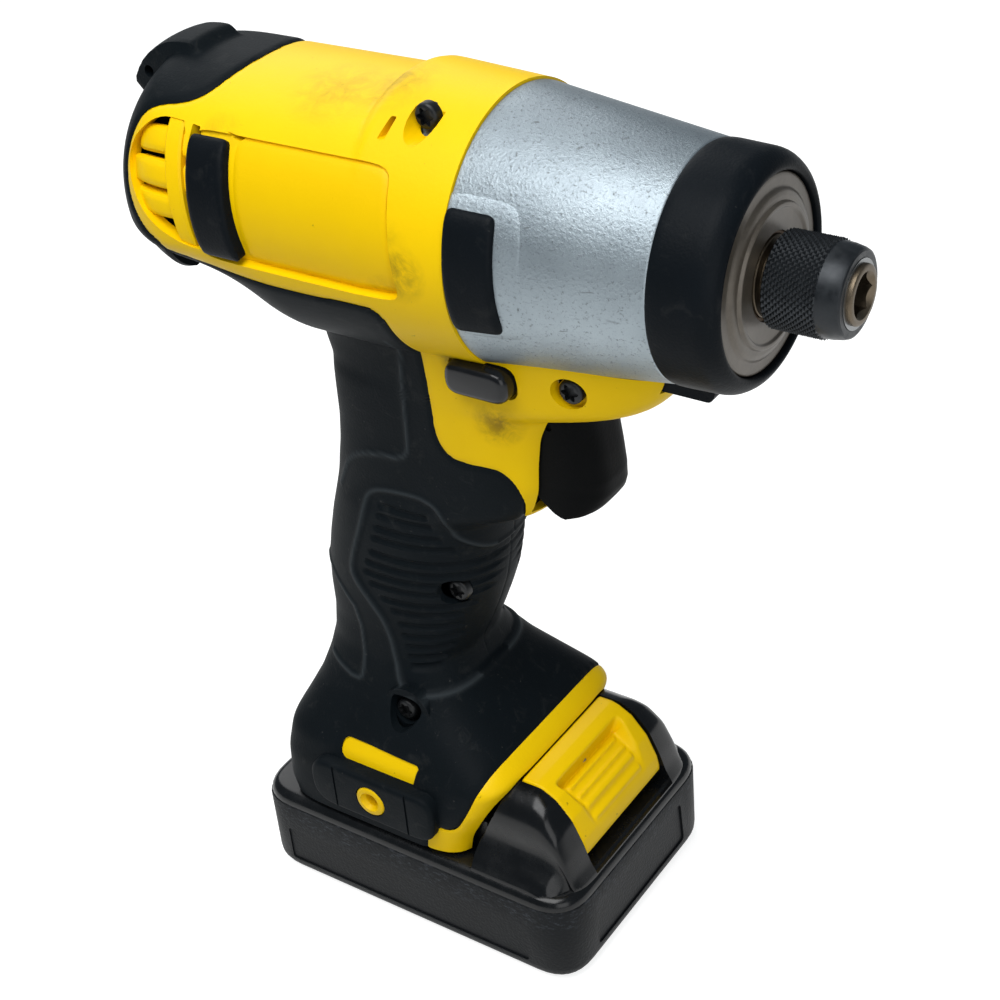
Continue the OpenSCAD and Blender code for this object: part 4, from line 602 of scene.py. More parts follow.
for side in ("right", "left"):
    skin = walled(lifted(skin_points, relief), skin_inner)
    tools = [prism(line, -away, past_middle) for line in (window_line, band_line, slot_line)]
    tools += [case_room(), prism(trigger_mouth, 12, 44, "x"), prism(arch_line, 4, 60, "x"),
        round_pin(hook_x, hook_z, socket_r, -away, 0)]
    if side == "right":
        # A boss inside carries the screw of the foot, whose pocket goes through the rubber
        skin = cut(skin, round_pin(-2.6, 50.4, 5.6, -18.4, -13.6), how="UNION")
        foot_pocket = eased([(-6.6, 53.6), (-3.4, 54.2), (0.4, 53.8), (1.4, 51), (-0.6, 48.2), (-2.8, 46.6),
            (-4.8, 47.2), (-6.2, 49.4)])
        tools += [pocket(palm_screw, 3.2), prism(foot_pocket, -away, -foot_screw[2])]
    skin = cut(skin, *tools)
    under = cut(walled(under_points, lifted(barrel_points, -rubber_depth)), prism(under_line, -away, past_middle),
        how="INTERSECT")
    if side == "right":
        under = cut(under, pocket(rear_screw))
    # Boss of the belt hook's socket: a long plate with round ends and two grooves, standing out of the foot
    plan = rectangle(hook_x - hook_half, hook_z - hook_h / 2, hook_x + hook_half, hook_z + hook_h / 2)
    boss = prism(filleted(plan, [6, 5, 3.5, 5], 6), -hook_face + 0.4, -24)
    softened(boss, lambda at: at.y < -hook_face + 1, 1.1, 3)
    boss = cut(boss, round_pin(hook_x, hook_z, socket_r, -away, 0),
        *[box((hook_x + x, -away, 0), (hook_x + x + 0.5, -hook_face + 0.75, 60)) for x in (-9.6, 9.1)])
    half = joined(skin, under, boss)
    piece = fitted("rubber_" + side, on_side(side, half), grip_rubber, "tool", "grip_rubber", "grip_" + side)
    # How much painted highlight each point gets, from its distance to the raised lines and the palm panel's rim;
    # points near the middle plane get none
    corners = np.zeros(len(piece.data.vertices) * 3)
    piece.data.vertices.foreach_get("co", corners)
    corners = corners.reshape(-1, 3) * 1000
    rubbed_and_highlight = np.zeros(len(corners))
    near = abs(corners[:, 1]) > 5
    rubbed_and_highlight[near] = np.max([np.exp(-(gap_to(corners[near], line) / 0.4) ** 2) for line in (thumb_line, heel_line)]
        + [np.exp(-((gap_to(corners[near], palm_line) - 0.5) / 0.45) ** 2)], axis=0)
    piece.data.attributes.new("rubbed_and_highlight", "FLOAT", "POINT").data.foreach_set("value", rubbed_and_highlight)

# ---- Rear bumper ------------------------------------------------------------------------------
# Black rubber cap over the rear dome, moulded in two halves, with a ridge over the top and a foot low on each
# side that take the knocks when the tool is laid down. A small hole goes through the ridge.
rear_points, rear_inner = [on_barrel(spine_x[spine_x < -20][:, None], turn[None, :], -depth)
    for depth in (0, rubber_depth)]
side_y, rear_px, rear_pz = abs(rear_points[..., 1]), rear_points[..., 0], rear_points[..., 2]
ridge_h, stop_h = 2.0 + 1.9 * step_to(rear_px, -46, -55), 2.8
ridge = ridge_h * step_to(side_y, 6.3, 5.0) * step_to(rear_px, -40.6, -44.4) * step_to(rear_pz, 170.5, 172.5)
stop = stop_h * step_to(rear_px, -52, -47) * step_to(rear_pz, 151, 147) * step_to(side_y, 14, 17)
cap_points = lifted(rear_points, 0.3 + rolled(-gap_to(rear_points, bumper_line), 1.2, 0.7) + ridge + stop)
hole_x, hole_z, hole_r = -55.4, 176.6, 1.2
for side in ("right", "left"):
    cap = cut(walled(cap_points, rear_inner), prism(bumper_line, -away, past_middle), how="INTERSECT")
    cap = cut(cap, round_pin(hole_x, hole_z, hole_r, -away, 1))
    fitted("bumper_" + side, on_side(side, cap), grip_rubber, "tool", "grip_rubber", "rear_bumper_" + side)

# ---- Side pads --------------------------------------------------------------------------------
# Rubber blocks let into the housing and the gear case so that the tool lies on them, not on its casing.
# They are moulded with soft edges and keep a smoother, slightly shinier skin than the grip.
pad_rubber = matte_rubber("rubber_smooth_black", "#10151a", "#0a0e11", 0.46, 0.14)
rear_pad = panel(on_barrel, -30.6, -21.8, 52.5, 100, lambda u, v: 1.0 + 0.4 * (1 - v ** 2), 2.6, 3.2, 12,
    (0.30, 0.9), (30, 60))
fitted("pads_behind", joined(mirrored(rear_pad), rear_pad), pad_rubber, "tool", "pad_rubber", "rear_pads")


def on_cone(x, angle, lift=0):
    """Points on the gear case's cone, right side."""
    r = np.interp(x, [split_x, case_x], [cone_back_r, cone_front_r]) + lift
    return np.stack([x + 0 * r, -r * np.sin(angle), spindle_z + r * np.cos(angle)], -1)


front_pad = panel(on_cone, 24.2, 33.4, 60, 110.5, 1.3, 2.4, 0.8, 10, (0.26, 0.8), (28, 60))
fitted("pads_ahead", joined(mirrored(front_pad), front_pad), pad_rubber, "tool", "pad_rubber", "front_pads")

# ---- Gear case --------------------------------------------------------------------------------
# A cone of die-cast aluminium, sand-blasted after casting, which goes into the housing by a turned skirt.
# It is cut flat below where it lies on the handle's top, and has a raised frame round each pad.
cast_aluminium, tree, shader, coords = new_finish("aluminium_cast_blasted", {"Metallic": 0.85, "Roughness": 0.5})
_, tone = clouded(tree, coords, "#808a90", "#a5b0b6", 90, 6, 0.6)
# Blasting grit about 0.3 mm, drawn at 0.6 mm so that it shows
grit = add(tree, "TexNoise", {"Vector": coords, "Scale": 1 / 0.0006, "Detail": 4, "Roughness": 0.7})
pits = add(tree, "MapRange", {"Value": grit.outputs["Fac"], 1: 0.56, 2: 0.70, 3: 0, 4: 0.6})
scratch_map = add(tree, "Mapping", {"Vector": coords, "Scale": (220, 220, 900), "Rotation": (0.2, 0.3, 0)})
scratch = add(tree, "TexNoise", {"Vector": scratch_map.outputs[0], "Scale": 1, "Detail": 5, "Distortion": 1.2})
lines = add(tree, "MapRange", {"Value": scratch.outputs["Fac"], 1: 0.66, 2: 0.74, 3: 0, 4: 0.55})
worn = add(tree, "Math", {0: pits.outputs[0], 1: lines.outputs[0]}, operation="MAXIMUM")
dulled = add(tree, "Mix", {0: worn.outputs[0], 6: tone, 7: linear("#474746")}, data_type="RGBA")
dull = add(tree, "MapRange", {"Value": worn.outputs[0], 3: 0.42, 4: 0.7})
blast = add(tree, "Bump", {"Height": grit.outputs["Fac"], "Strength": 0.35, "Distance": 0.0004})
fill(shader, {"Base Color": dulled.outputs[2], "Roughness": dull.outputs[0], "Normal": blast.outputs[0]})

skirt_x, skirt_r, cone_end = 2, 22.6, case_x - 0.1
case_flat_z = spindle_z - 21.4
shape = turned(filleted([(skirt_x, 19.9), (skirt_x, skirt_r), (split_x, skirt_r), (split_x, cone_back_r),
    (cone_end, cone_front_r), (cone_end, 12), (71.5, 12), (71.5, 9.6), (55.2, 9.6), (55.2, 18.2), (12.2, 18.2),
    (12.2, 19.9)], [0.2, 0.3, 0.2, 0.5, 0.5, 0.2, 0.4, 0.2, 0.2, 0.2, 0.2, 0.2], 3), 160)
shape = cut(shape, box((0, -away, 100), (cone_end, away, case_flat_z)))
frame_right = panel(on_cone, 22.5, 38.2, 53, 115, 0.3, 2, 1, 5, (0.6, 0.42), (40, 60))
case = joined(shape, mirrored(frame_right), frame_right)
fitted("cast_cone", case, cast_aluminium, "tool", "cast_aluminium", "gear_case")

# ---- Nose boot --------------------------------------------------------------------------------
# A black rubber ring stretched over the front of the gear case, with the cover of the light's lead below it.
# Its front lip rolls in over the face plate.
ring = turned(filleted([(59.6, 12.2), (59.6, 20.7), (61, 20.9), (69.2, 20.6), (71.3, 19.2), (72, 17.9), (71.6, 17.2),
    (66.4, 17.1), (66.4, 12.2)], [0.2, 0.6, 1.2, 1.6, 0.9, 0.5, 0.3, 0.1, 0.1], 4), 144)
tab = prism(filleted([(53.2, 134.6), (63.2, 134.6), (64, 136), (64, 140), (60.2, 140), (60.2, 136.6), (53.2, 136.6)],
    [0.8, 0.8, 0.5, 0, 0, 0, 0.4], 3), -6, 6)
fitted("boot_ring", joined(ring, tab), pad_rubber, "tool", "grip_rubber", "nose_boot")

# ---- Face plate -------------------------------------------------------------------------------
# The ring-shaped plate round the spindle: a frosted polycarbonate light window, browned with use.
# It is pressed into the nose boot's lip and has a raised step round its inner edge.
constants = {"Roughness": 0.38, "IOR": 1.58, "Metallic": 0.35}
face_brown, tree, shader, coords = new_finish("polycarbonate_smoked", constants)
cloud, tone = clouded(tree, coords, "#3d372f", "#6b6358", 260, 6, 0.7)
rub = add(tree, "Bump", {"Height": cloud, "Strength": 0.12, "Distance": 0.0004})
fill(shader, {"Base Color": tone, "Normal": rub.outputs[0]})
plate = turned(filleted([(69.4, 12.1), (69.4, 17), (70.9, 17), (71.1, 16.4), (71.1, 14.6), (71.7, 14), (71.9, 13.2),
    (71.9, 12.5), (72.5, 12.2), (72.5, 11.6), (72.1, 11.2), (72.0, 7.6), (71.6, 7.6), (71.6, 12.1)],
    [0.1, 0.1, 0.3, 0.3, 0.3, 0.3, 0.2, 0.1, 0.15, 0.15, 0.2, 0.1, 0, 0], 3), 128)
fitted("face_plate", plate, face_brown, "tool", "light_window", "light_window")

# ---- Anvil ------------------------------------------------------------------------------------
# Forged and hardened steel, oiled: two wings that the hammer strikes, a neck and the hexagon socket for bits.
# Its open end is ground, and has browned where bits have rubbed it.


def worked_steel(name, light, dark, roughness, metallic=0.95, scale=420):
    """Steel with the faint streaks and stains that handling and oil leave on it."""
    material, tree, shader, coords = new_finish(name, {"Metallic": metallic, "Roughness": roughness})
    stain, tone = clouded(tree, coords, dark, light, scale, 6, 0.65)
    shine = add(tree, "MapRange",
        {"Value": stain, 1: 0.3, 2: 0.7, 3: roughness * 0.8, 4: min(roughness * 1.3, 1)})
    rub = add(tree, "Bump", {"Height": stain, "Strength": 0.08, "Distance": 0.0003})
    fill(shader, {"Base Color": tone, "Roughness": shine.outputs[0], "Normal": rub.outputs[0]})
    return material


anvil_steel = worked_steel("steel_hardened_oiled", "#7d7160", "#443b30", 0.4)
anvil_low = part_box("anvil")[0][0] * 1000
pilot_r, pilot_l = 3.53, 6
wing_front, wing_r, wing_half, tip_x, neck_r = anvil_low + 6.5, 15.2, 4.5, 88, 5.13
socket_across, socket_l, ball_x, ball_r = 6.45, 21, 78.92, 1.66
shaft = turned(filleted([(anvil_low, hair), (anvil_low, 8.05), (wing_front, 8.05), (wing_front, 9.1), (55, 9.1),
    (55, 7), (72.1, 7), (72.1, neck_r), (86.6, neck_r), (86.6, 4.5), (87.1, 4.5), (87.1, neck_r), (tip_x, neck_r),
    (tip_x, hair)], [0, 0.3, 0, 0, 0.3, 0, 0.4, 0, 0, 0, 0, 0, 0.7, 0], 3), 64)
wing_round = turned(rectangle(anvil_low - 1, hair, wing_front + 1, wing_r)[::-1], 96)
wings = cut(box((anvil_low, -wing_half, spindle_z - 20), (wing_front, wing_half, spindle_z + 20)), wing_round,
    how="INTERSECT")
# The hexagon socket with its flared mouth, the bore for the carrier's pilot and the hole for the two balls
hexagon = prism(circle(0, spindle_z, socket_across / 2 / cos(pi / 6), 6), tip_x - socket_l, tip_x + 2, "x")
mouth = turned([(tip_x - 1, hair), (tip_x - 1, 3.2), (tip_x + 1, 4.9), (tip_x + 1, hair)], 48)
pilot = turned(rectangle(anvil_low - 1, hair, anvil_low + pilot_l, pilot_r)[::-1], 48)
ball_hole = prism(circle(ball_x, 0, ball_r, 24), spindle_z - 30, spindle_z + 30, "z")
shaft = cut(cut(shaft, wings, how="UNION"), hexagon, mouth, pilot, ball_hole)
fitted("drive_anvil", shaft, anvil_steel, "anvil", "anvil_steel", "anvil")

# ---- Bit sleeve -------------------------------------------------------------------------------
# A turned steel collar, black oxide, drawn forward to free the bit. A diamond knurl covers its rear two thirds,
# and the smooth front end tapers a little.
sleeve_black = worked_steel("steel_black_oxide", "#2b2f33", "#15181b", 0.38, 0.55, 700)
sleeve_x, sleeve_r, sleeve_front = 73.6, 8.4, 87
knurl_x, knurl_l, knurl_rows, knurl_sides, knurl_depth = sleeve_x + 0.3, 8.9, 16, 88, 0.42
bands = [(knurl_x + knurl_l * i / knurl_rows, sleeve_r) for i in range(knurl_rows + 1)]
profile = [(sleeve_x, 7.0), (sleeve_x, 7.9)] + bands + [(83.0, 8.0), (84.6, 7.9), (86.2, 7.6), (86.8, 7.35),
    (sleeve_front, 7.0), (sleeve_front, 6.0), (85.6, 5.6), (83, 5.6), (79.6, 5.25), (78.9, 6.5)]
sleeve = turned(profile, knurl_sides)
for v in sleeve.verts:
    y, z = v.co.y, v.co.z - spindle_z
    row = (v.co.x - knurl_x) / knurl_l * knurl_rows
    if np.hypot(y, z) > sleeve_r - 0.1 and -0.1 < row < knurl_rows + 0.1:
        column = round(np.arctan2(y, z) / (2 * pi) * knurl_sides)
        depth = knurl_depth if (round(row) + column) % 2 else 0
        v.co.y, v.co.z = y * (1 - depth / sleeve_r), spindle_z + z * (1 - depth / sleeve_r)
# Each knurl face is folded along the line between its two low corners, so that the peaks stand as pyramids
for face in [f for f in sleeve.faces if len(f.verts) == 4]:
    radii = [np.hypot(v.co.y, v.co.z - spindle_z) for v in face.verts]
    if max(radii) - min(radii) > 0.3 and min(radii) > 7.9:
        low = sorted(range(4), key=lambda k: radii[k])[:2]
        if abs(low[0] - low[1]) == 2:
            bmesh.utils.face_split(face, face.verts[low[0]], face.verts[low[1]])
fitted("knurled_sleeve", sleeve, sleeve_black, "sleeve", "sleeve_black", "bit_sleeve", sharp=24)

# ---- Trigger ----------------------------------------------------------------------------------
# A black acetal slide with a hollow front for the finger, moulded in one piece with its stem.
# The stem runs back into the switch, which guides it and holds its spring.
constants = {"Roughness": 0.5, "IOR": 1.48, "Specular IOR Level": 0.05}
trigger_black, tree, shader, coords = new_finish("acetal_black", constants)
_, tone = clouded(tree, coords, "#040505", "#08090a", 140, 6, 0.65)
# Spark texture about 0.4 mm apart, drawn at 0.6 mm so that it shows
grain = grained(tree, coords, 0.6, 2, 0.12, 0.3)
fill(shader, {"Base Color": tone, "Normal": grain})
trigger_x, trigger_z, trigger_d, trigger_h, trigger_w = 25.4, 103.2, 14.8, 23.6, 17
# Shares of the height: the toe below, the straight part, and the crown above, where the sides draw in
toe, crown, crown_in, boxy = 0.1, 0.85, 3.6, 0.62
level = np.concatenate([np.linspace(0, 1, 13) ** 2 * toe, np.linspace(toe, crown, 34)[1:],
    crown + (1 - crown) * np.sin(np.linspace(0, pi / 2, 10))[1:]])[:, None]
round_front = np.linspace(-pi / 2, pi / 2, 49)[None, :]
front_x = trigger_x + trigger_d * np.interp(level, [0, 0.004, 0.02, 0.05, 0.1, 0.17, 0.3, 0.5, 0.75, 1],
    [0.55, 0.68, 0.80, 0.88, 0.94, 0.98, 0.99, 0.955, 0.895, 0.85])
back_x = trigger_x + trigger_d * np.interp(level, [0, 0.004, 0.03, 0.1, 0.18, 0.26, 1],
    [0.55, 0.48, 0.38, 0.24, 0.1, 0, 0])
half_w = trigger_w / 2 + rolled(1 - level, 1 - crown, crown_in)
blade_y = half_w * np.sign(round_front) * abs(np.sin(round_front)) ** boxy
blade_z = trigger_z + trigger_h * level + 0 * round_front
blade_front = back_x + (front_x - back_x) * np.cos(round_front) ** boxy
blade = walled(np.stack([blade_front, blade_y, blade_z], -1), np.stack([back_x + 0 * blade_y, blade_y, blade_z], -1))
blade = cut(blade, round_pin(31, 122.4, 0.75, -12, -trigger_w / 2 + 0.6, 16))
stem = box((13.4, -2.975, 112.28), (28.4, 2.975, 120.08))
fitted("trigger_slide", joined(blade, stem), trigger_black, "trigger", "trigger_plastic", "trigger", sharp=50)

# ---- Direction bar ----------------------------------------------------------------------------
# A push-through bar of glossy black plastic: a round-ended button on each side, joined by a web inside.
# It lies across the handle over the trigger and slides in the openings of the two housing halves.
constants = {"Roughness": 0.22, "IOR": 1.53, "Specular IOR Level": 0.3}
button_black, tree, shader, coords = new_finish("nylon_gloss_black", constants)
cloud, tone = clouded(tree, coords, "#0c0d0f", "#17191c", 300, 5, 0.5)
shine = add(tree, "MapRange", {"Value": cloud, 1: 0.3, 2: 0.7, 3: 0.15, 4: 0.3})
fill(shader, {"Base Color": tone, "Roughness": shine.outputs[0]})
bar_x, bar_z, bar_l, bar_h, bar_half, button_d = 16.2, 131.3, 13.4, 6.6, 18.8, 5.4
bar_line = filleted(rectangle(bar_x, bar_z, bar_x + bar_l, bar_z + bar_h), 3.2, 6)
button = prism(bar_line, -bar_half, -bar_half + button_d)
softened(button, lambda at: at.y < -bar_half + 0.1, 1.5, 4)
web = box((bar_x + bar_l * 0.2, -16, bar_z), (bar_x + bar_l * 0.8, 16, bar_z + 3.6))
bar = joined(mirrored(button), button, web)
fitted("direction_buttons", bar, button_black, "direction_bar", "bar_plastic", "direction_bar")

# ---- Housing screws ---------------------------------------------------------------------------
# Five thread-forming screws of blackened steel with six-lobed heads, driven from the right side.
# Each head lies on its seat in a pocket of the housing or its rubber, and the shank runs on to the left.
screw_black = worked_steel("steel_blackened", "#1e2022", "#0d0e0f", 0.42, 0.4, 900)
head_r, head_h, shank_r, shank_l, recess = 2.4, 1.9, 1.5, 16, 1.1
lobe_angles = np.linspace(0, 2 * pi, 48, endpoint=False)
lobes = [(1.45 + 0.32 * cos(6 * t)) * np.array([cos(t), sin(t)]) for t in lobe_angles]
screws = []
for x, z, seat in screw_places:
    top = -seat - head_h
    head = round_pin(x, z, head_r, top, -seat, 40)
    softened(head, lambda at: at.y < top + 0.1, 0.7, 3)
    head = cut(head, prism([(x + p[0], z + p[1]) for p in lobes], -seat - 4, top + recess))
    screws += [head, round_pin(x, z, shank_r, -seat, shank_l - seat, 20)]
fitted("lobed_screws", joined(*screws), screw_black, "tool", "screw_steel", "housing_screws")

# ---- Belt hook sockets ------------------------------------------------------------------------
# A yellow moulded liner on each side of the foot, with the threaded hole for a belt hook.
# It is pressed into the rubber boss and stands a little proud of its face.
liner_r, thread_r, thread_l, dish_r = 3.6, 1.65, 6.8, 2.6
liner = round_pin(hook_x, hook_z, liner_r, -hook_face + 0.2, -21.6, 40)
softened(liner, lambda at: at.y < -hook_face + 0.4, 0.6, 3)
dish = bmesh.new()
bmesh.ops.create_cone(dish, cap_ends=True, segments=36, radius1=dish_r, radius2=thread_r, depth=1.4,
    matrix=Matrix.Translation((hook_x, -hook_face + 0.5, hook_z)) @ Matrix.Rotation(-pi / 2, 4, "X"))
liner = cut(liner, round_pin(hook_x, hook_z, thread_r, -away, -hook_face + thread_l), dish)
fitted("hook_liners", joined(mirrored(liner), liner), plate_yellow, "tool", "socket_plastic", "hook_sockets")

# ---- Battery tray -----------------------------------------------------------------------------
# The lower half of the battery case: matte black polycarbonate, spark-textured, with a shallow bare field on
# each side and across the front. Its upper edge is scuffed from standing and sliding about.
constants = {"Roughness": 0.5, "IOR": 1.55, "Specular IOR Level": 0.12}
tray_black, tree, shader, coords = new_finish("polycarbonate_textured_black", constants)
_, tone = clouded(tree, coords, "#0a0c0e", "#15181b", 120, 7, 0.7)
height = add(tree, "SeparateXYZ", {0: coords})
shoulder = add(tree, "MapRange", {"Value": height.outputs["Z"], 1: 0.0125, 2: 0.0165})
scuff_map = add(tree, "Mapping", {"Vector": coords, "Scale": (500, 500, 1400)})
scuff = add(tree, "TexNoise", {"Vector": scuff_map.outputs[0], "Scale": 1, "Detail": 6, "Roughness": 0.75})
rubbed_and_highlight = add(tree, "MapRange", {"Value": scuff.outputs["Fac"], 1: 0.52, 2: 0.72, 3: 0, 4: 0.42})
scuffed = add(tree, "Math", {0: shoulder.outputs[0], 1: rubbed_and_highlight.outputs[0]}, operation="MULTIPLY")
skin = add(tree, "Mix", {0: scuffed.outputs[0], 6: tone, 7: linear("#5b6068")}, data_type="RGBA")
# Spark texture about 0.4 mm apart, drawn at 0.6 mm so that it shows
grain = grained(tree, coords, 0.6, 3, 0.3)
fill(shader, {"Base Color": skin.outputs[2], "Normal": grain})
pack_l, pack_w, pack_corner, tray_h, tray_wall, deck_z = 81.4, 57.4, 9, 19.6, 1.5, 22.2
field_depth, front_field_depth = 0.35, 0.4


def rounded_plan(l, w, r, steps=8):
    """A rectangle with round corners, seen from above."""
    return filleted(rectangle(-l / 2, -w / 2, l / 2, w / 2), r, steps)


tray = prism(rounded_plan(pack_l, pack_w, pack_corner), 0, tray_h, "z")
softened(tray, lambda at: at.z > tray_h - 0.1, 0.3, 2)
softened(tray, lambda at: at.z < 0.1, 3.6, 5)
field = filleted(rectangle(-33, 3.8, 30, 12.6), 0.8, 3)
front_field = filleted([(-18, 4.2), (18, 4.2), (17, 15.4), (-17, 15.4)], 1.2, 3)
hollow_plan = rounded_plan(pack_l - 2 * tray_wall, pack_w - 2 * tray_wall, pack_corner - tray_wall)
tray = cut(tray, prism(hollow_plan, tray_wall, 30, "z"), prism(field, -away, -pack_w / 2 + field_depth),
    prism(field, pack_w / 2 - field_depth, away), prism(front_field, pack_l / 2 - front_field_depth, away, "x"))
fitted("battery_tray", tray, tray_black, "pack", "tray_plastic", "pack_tray")

# ---- Battery lid ------------------------------------------------------------------------------
# The upper half: a deck, the flange that slides on the foot's rails, and the hood round the latch.
# It is the same black plastic, polished in the mould, so its rounded cheeks shine.
constants = {"Roughness": 0.2, "IOR": 1.58, "Specular IOR Level": 0.25}
lid_black, tree, shader, coords = new_finish("polycarbonate_gloss_black", constants)
cloud, tone = clouded(tree, coords, "#08090a", "#131517", 160, 7, 0.7)
shine = add(tree, "MapRange", {"Value": cloud, 1: 0.35, 2: 0.7, 3: 0.14, 4: 0.36})
fill(shader, {"Base Color": tone, "Roughness": shine.outputs[0]})
hood_x, hood_l, hood_h, latch_half, latch_gap = 16.4, 22.05, 17.8, 15.3, 0.3
deck = prism(rounded_plan(pack_l - 0.4, pack_w - 0.4, pack_corner), tray_h, deck_z, "z")
softened(deck, lambda at: at.z > deck_z - 0.1, 2.4, 6)


def spaced(points, count, reach=3):
    """An open line of points at even spacing, its corners rounded over a few steps."""
    points = np.array(points, float)
    length = np.concatenate([[0], np.cumsum(np.hypot(*np.diff(points, axis=0).T))])
    even = [np.interp(np.linspace(0, length[-1], count), length, column) for column in points.T]
    return np.stack([smoothed(column, reach, mode="reflect", reflect_type="odd") for column in even], -1)


# Along the tool the hood has one profile and across it another; at the front corners the two falls add up to a
# round lobe
along = spaced([(hood_x + hood_l * a, hood_h * b) for a, b in ((0, 0), (0, 0.27), (0.14, 0.66), (0.22, 0.95),
    (0.25, 1), (0.50, 1), (0.66, 0.90), (0.82, 0.675), (0.93, 0.38), (0.99, 0.16), (1.06, 0))], 100)
flank = [(27.4, 0), (26.2, 2.2), (23.8, 4.6), (22.5, 7)]
across = spaced([(-y, z) for y, z in flank] + [(y, z - deck_z) for y, z in hood_arch(0)] + flank[::-1], 150)
along_x, along_z = along[:, :1], along[:, 1:]
hood_y = across[None, :, 0] + 0 * along_x
fall = np.where(along_x < hood_x + hood_l * 0.4, 0, 1 - along_z / hood_h)
lobe = hood_h * (1 - np.hypot(fall, 1 - across[None, :, 1] / hood_h))
hood_z = deck_z + np.clip(np.minimum(lobe, along_z), -1, hood_h)
corner_in = 1.2 * ((along_x - hood_x) / hood_l) ** 3 * np.clip((abs(hood_y) - 15) / 11.4, 0, 1) ** 2
hood_top = np.stack([along_x - corner_in, hood_y, hood_z], -1)
hood = walled(hood_top, np.stack([hood_top[..., 0], hood_y, 0 * hood_y + deck_z - 1.5], -1))
hood = cut(hood, prism(rounded_plan(pack_l - 1.6, pack_w - 1.6, 12), 0, 60, "z"), how="INTERSECT")
hood = cut(hood, box((21.9, -latch_half - latch_gap, deck_z - 0.2), (60, latch_half + latch_gap, 60)))
# The flange: a neck between the rails, the wings that hang on them, and the block behind the hood
flange_x0, flange_x1, flange_x2, flange_top, flange_low = -27.2, 6, 17, 30.4, deck_z - 1
flange = [box((flange_x0, -16.5, flange_low), (flange_x1, 16.5, flange_top)),
    box((flange_x0, -20.5, 27.05), (flange_x1, 20.5, flange_top)),
    box((flange_x1, -21.1, flange_low), (flange_x2, 21.1, flange_top))]
fitted("battery_lid", joined(deck, hood, *flange), lid_black, "pack", "lid_plastic", "pack_lid", sharp=45)

# ---- Release latch ----------------------------------------------------------------------------
# The yellow thumb latch in the hood, pressed down to free the battery: a rim round a hollow with four ribs.
# It is moulded in ABS like the housing, with a smoother skin, and a spring below holds it up.
latch_yellow = yellow_abs("abs_satin_yellow", "#fbd000", "#f4c500", 0.36, [((33, -8, 36), 3, 0.25)])
hollow_depth, rib_h, rib_half, inner_at = 3.3, 0.55, 0.34, 24
latch_line = spaced([(22.3, 36.6), (22.3, 39.3), (22.8, 40.1), (26, 40.1), (27.8, 39.6), (30.8, 37.95), (34.3, 33.95),
    (36.6, 28.96), (37.1, 26.6), (37.1, 25.6)], 130)
thumb_x, thumb_z = latch_line[:, :1], latch_line[:, 1:]
slope = np.gradient(latch_line, axis=0)
slope /= np.linalg.norm(slope, axis=1, keepdims=True)
thumb_y = np.linspace(-latch_half, latch_half, 120)[None, :]
# The hollow starts at a steep wall behind and runs out forwards; four ribs cross its floor
sunk = step_to(thumb_x, 28.4, 29.9) * np.clip((36.8 - thumb_x) / 6.9, 0, 1)
narrower = 0.25 * (thumb_x - 29)
hollow = hollow_depth * sunk * step_to(abs(thumb_y), 12.6 - narrower, 10.4 - narrower)
for rib_x in (31.6, 33.2, 34.7, 35.9):
    hollow = hollow - rib_h * np.exp(-((thumb_x - rib_x) / rib_half) ** 2) * step_to(abs(thumb_y), 9.6, 8.6)
hollow = hollow - rolled(latch_half - abs(thumb_y), 0.8, 0.5)
thumb_y = thumb_y + 0 * hollow
thumb_top = np.stack([thumb_x + slope[:, 1:] * hollow, thumb_y, thumb_z - slope[:, :1] * hollow], -1)
# The inner face is the outer line drawn in towards a point behind it, further under the hollow
share = 0.79 - 0.11 * sunk + 0 * hollow
thumb_under = np.stack([inner_at + (thumb_x - inner_at) * share, thumb_y, inner_at + (thumb_z - inner_at) * share], -1)
thumb = walled(thumb_top, thumb_under)
fitted("thumb_latch", thumb, latch_yellow, "latch", "latch_plastic", "release_latch", sharp=50)

# ---- Motor, gears, hammer, switch and cells ---------------------------------------------------
# The pieces inside, which keep the solids' own meshes: turned, ground, wound and moulded parts.
# Each gets the finish of what it is made of, and its edges are welded so that round faces shade smoothly.
inside = {
    "steel_ground": (("ring_gear", "planet_gear_right", "planet_gear_left", "motor_pinion", "planet_pins",
        "rotor_shaft", "carrier_bearing", "cam_balls", "detent_ball_upper", "detent_ball_lower"),
        "#b4b6b8", "#8c8e90", 0.3, 0.95),
    "steel_forged": (("cam_shaft", "hammer"), "#7d7d7c", "#565655", 0.42, 0.95),
    "steel_spring": (("hammer_spring", "sleeve_spring", "trigger_spring", "latch_spring", "spring_washer",
        "sleeve_washer", "retaining_ring"), "#9a9c9d", "#6d6f70", 0.3, 0.95),
    "steel_plated": (("motor_can", "pack_screws"), "#a7aaab", "#8d9091", 0.34, 0.9),
    "zinc_cast": (("gear_plate",), "#9b9da0", "#77797b", 0.5, 0.85),
    "bronze_sintered": (("anvil_bushing",), "#6e563a", "#4a3926", 0.5, 0.7),
    "ferrite": (("motor_magnets", "motor_brushes"), "#3a3a3c", "#242426", 0.6, 0.1),
    "copper_enamelled": (("armature", "commutator"), "#b8683a", "#8a4a26", 0.35, 0.85),
    "nickel_strip": (("pack_straps",), "#c1bfb6", "#9d9b92", 0.28, 0.95),
    "brass": (("pack_contacts", "terminal_blades"), "#c9a35a", "#9c7a3c", 0.3, 0.95),
    "nylon_black": (("motor_cap", "switch_body", "terminal_block", "motor_fan"), "#232528", "#141618", 0.45, 0.0),
    "board_soldermask": (("light_board",), "#1f5a34", "#123d22", 0.35, 0.0),
    "epoxy_clear": (("light_diodes",), "#efe9c8", "#d8d1ae", 0.15, 0.0),
    "cell_sleeve": (("pack_cells",), "#2f6f9a", "#235676", 0.35, 0.0),
}
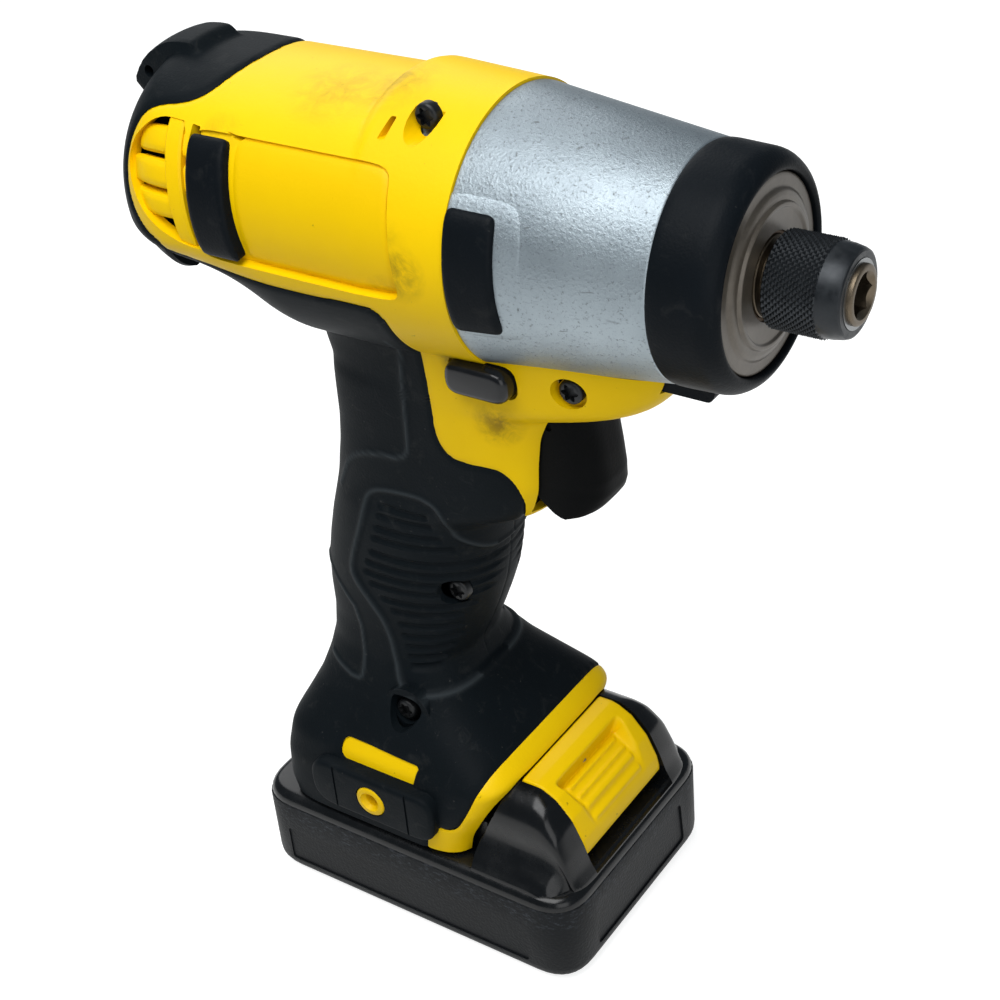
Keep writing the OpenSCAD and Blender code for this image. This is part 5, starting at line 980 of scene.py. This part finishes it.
for finish, (nodes, light, dark, roughness, metallic) in inside.items():
    material = worked_steel(finish, light, dark, roughness, metallic)
    for name in nodes:
        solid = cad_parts[name]
        solid.data.materials.clear()
        solid.data.materials.append(material)
        solid.data.polygons.foreach_set("use_smooth", [True] * len(solid.data.polygons))
        weld = solid.modifiers.new("weld", "WELD")
        weld.merge_threshold = 0.000005
        split = solid.modifiers.new("edges", "EDGE_SPLIT")
        split.split_angle = radians(30)

# ---- Floor and light --------------------------------------------------------------------------
# A plain white sheet under the tool, lit softly from above and from both sides.
# The sheet glows a little to the camera and in reflections, so that it stays white behind the tool.
floor_mesh = bpy.data.meshes.new("floor")
bm = bmesh.new()
bmesh.ops.create_grid(bm, x_segments=1, y_segments=1, size=3)
bm.to_mesh(floor_mesh)
bm.free()
floor = bpy.data.objects.new("floor", floor_mesh)
bpy.context.collection.objects.link(floor)
sheet_white, tree, shader, coords = new_finish("floor_white", {"Base Color": linear("#b6b6b4"), "Roughness": 0.9})
ray = add(tree, "LightPath")
seen = add(tree, "Math", {0: ray.outputs["Is Camera Ray"], 1: ray.outputs["Is Glossy Ray"]}, operation="MAXIMUM")
seen = add(tree, "Math", {0: seen.outputs[0], 1: ray.outputs["Is Transmission Ray"]}, operation="MAXIMUM")
glow = add(tree, "Emission", {"Color": linear("#ffffff"), "Strength": 0.8})
both = add(tree, "AddShader", {0: shader.outputs[0], 1: glow.outputs[0]})
mixed = add(tree, "MixShader", {0: seen.outputs[0], 1: shader.outputs[0], 2: both.outputs[0]})
tree.links.new(mixed.outputs[0], tree.nodes["Material Output"].inputs["Surface"])
floor_mesh.materials.append(sheet_white)

world = bpy.data.worlds.new("studio")
world.use_nodes = True
fill(world.node_tree.nodes["Background"], {"Color": linear("#d3e1ee"), "Strength": 0.24})
bpy.context.scene.world = world
lamps = (("key", (0.0, -0.26, 0.70), 0.45, 4.1), ("fill", (0.55, -0.45, 0.35), 0.5, 1.6),
    ("rim", (-0.45, 0.35, 0.55), 0.5, 1.8))
for name, place, size, power in lamps:
    lamp = bpy.data.lights.new(name, "AREA")
    lamp.size, lamp.energy = size, power
    lamp_object = bpy.data.objects.new(name, lamp)
    lamp_object.location = place
    lamp_object.rotation_euler = (Vector((0, 0, 0.1)) - Vector(place)).to_track_quat("-Z", "Y").to_euler()
    bpy.context.collection.objects.link(lamp_object)
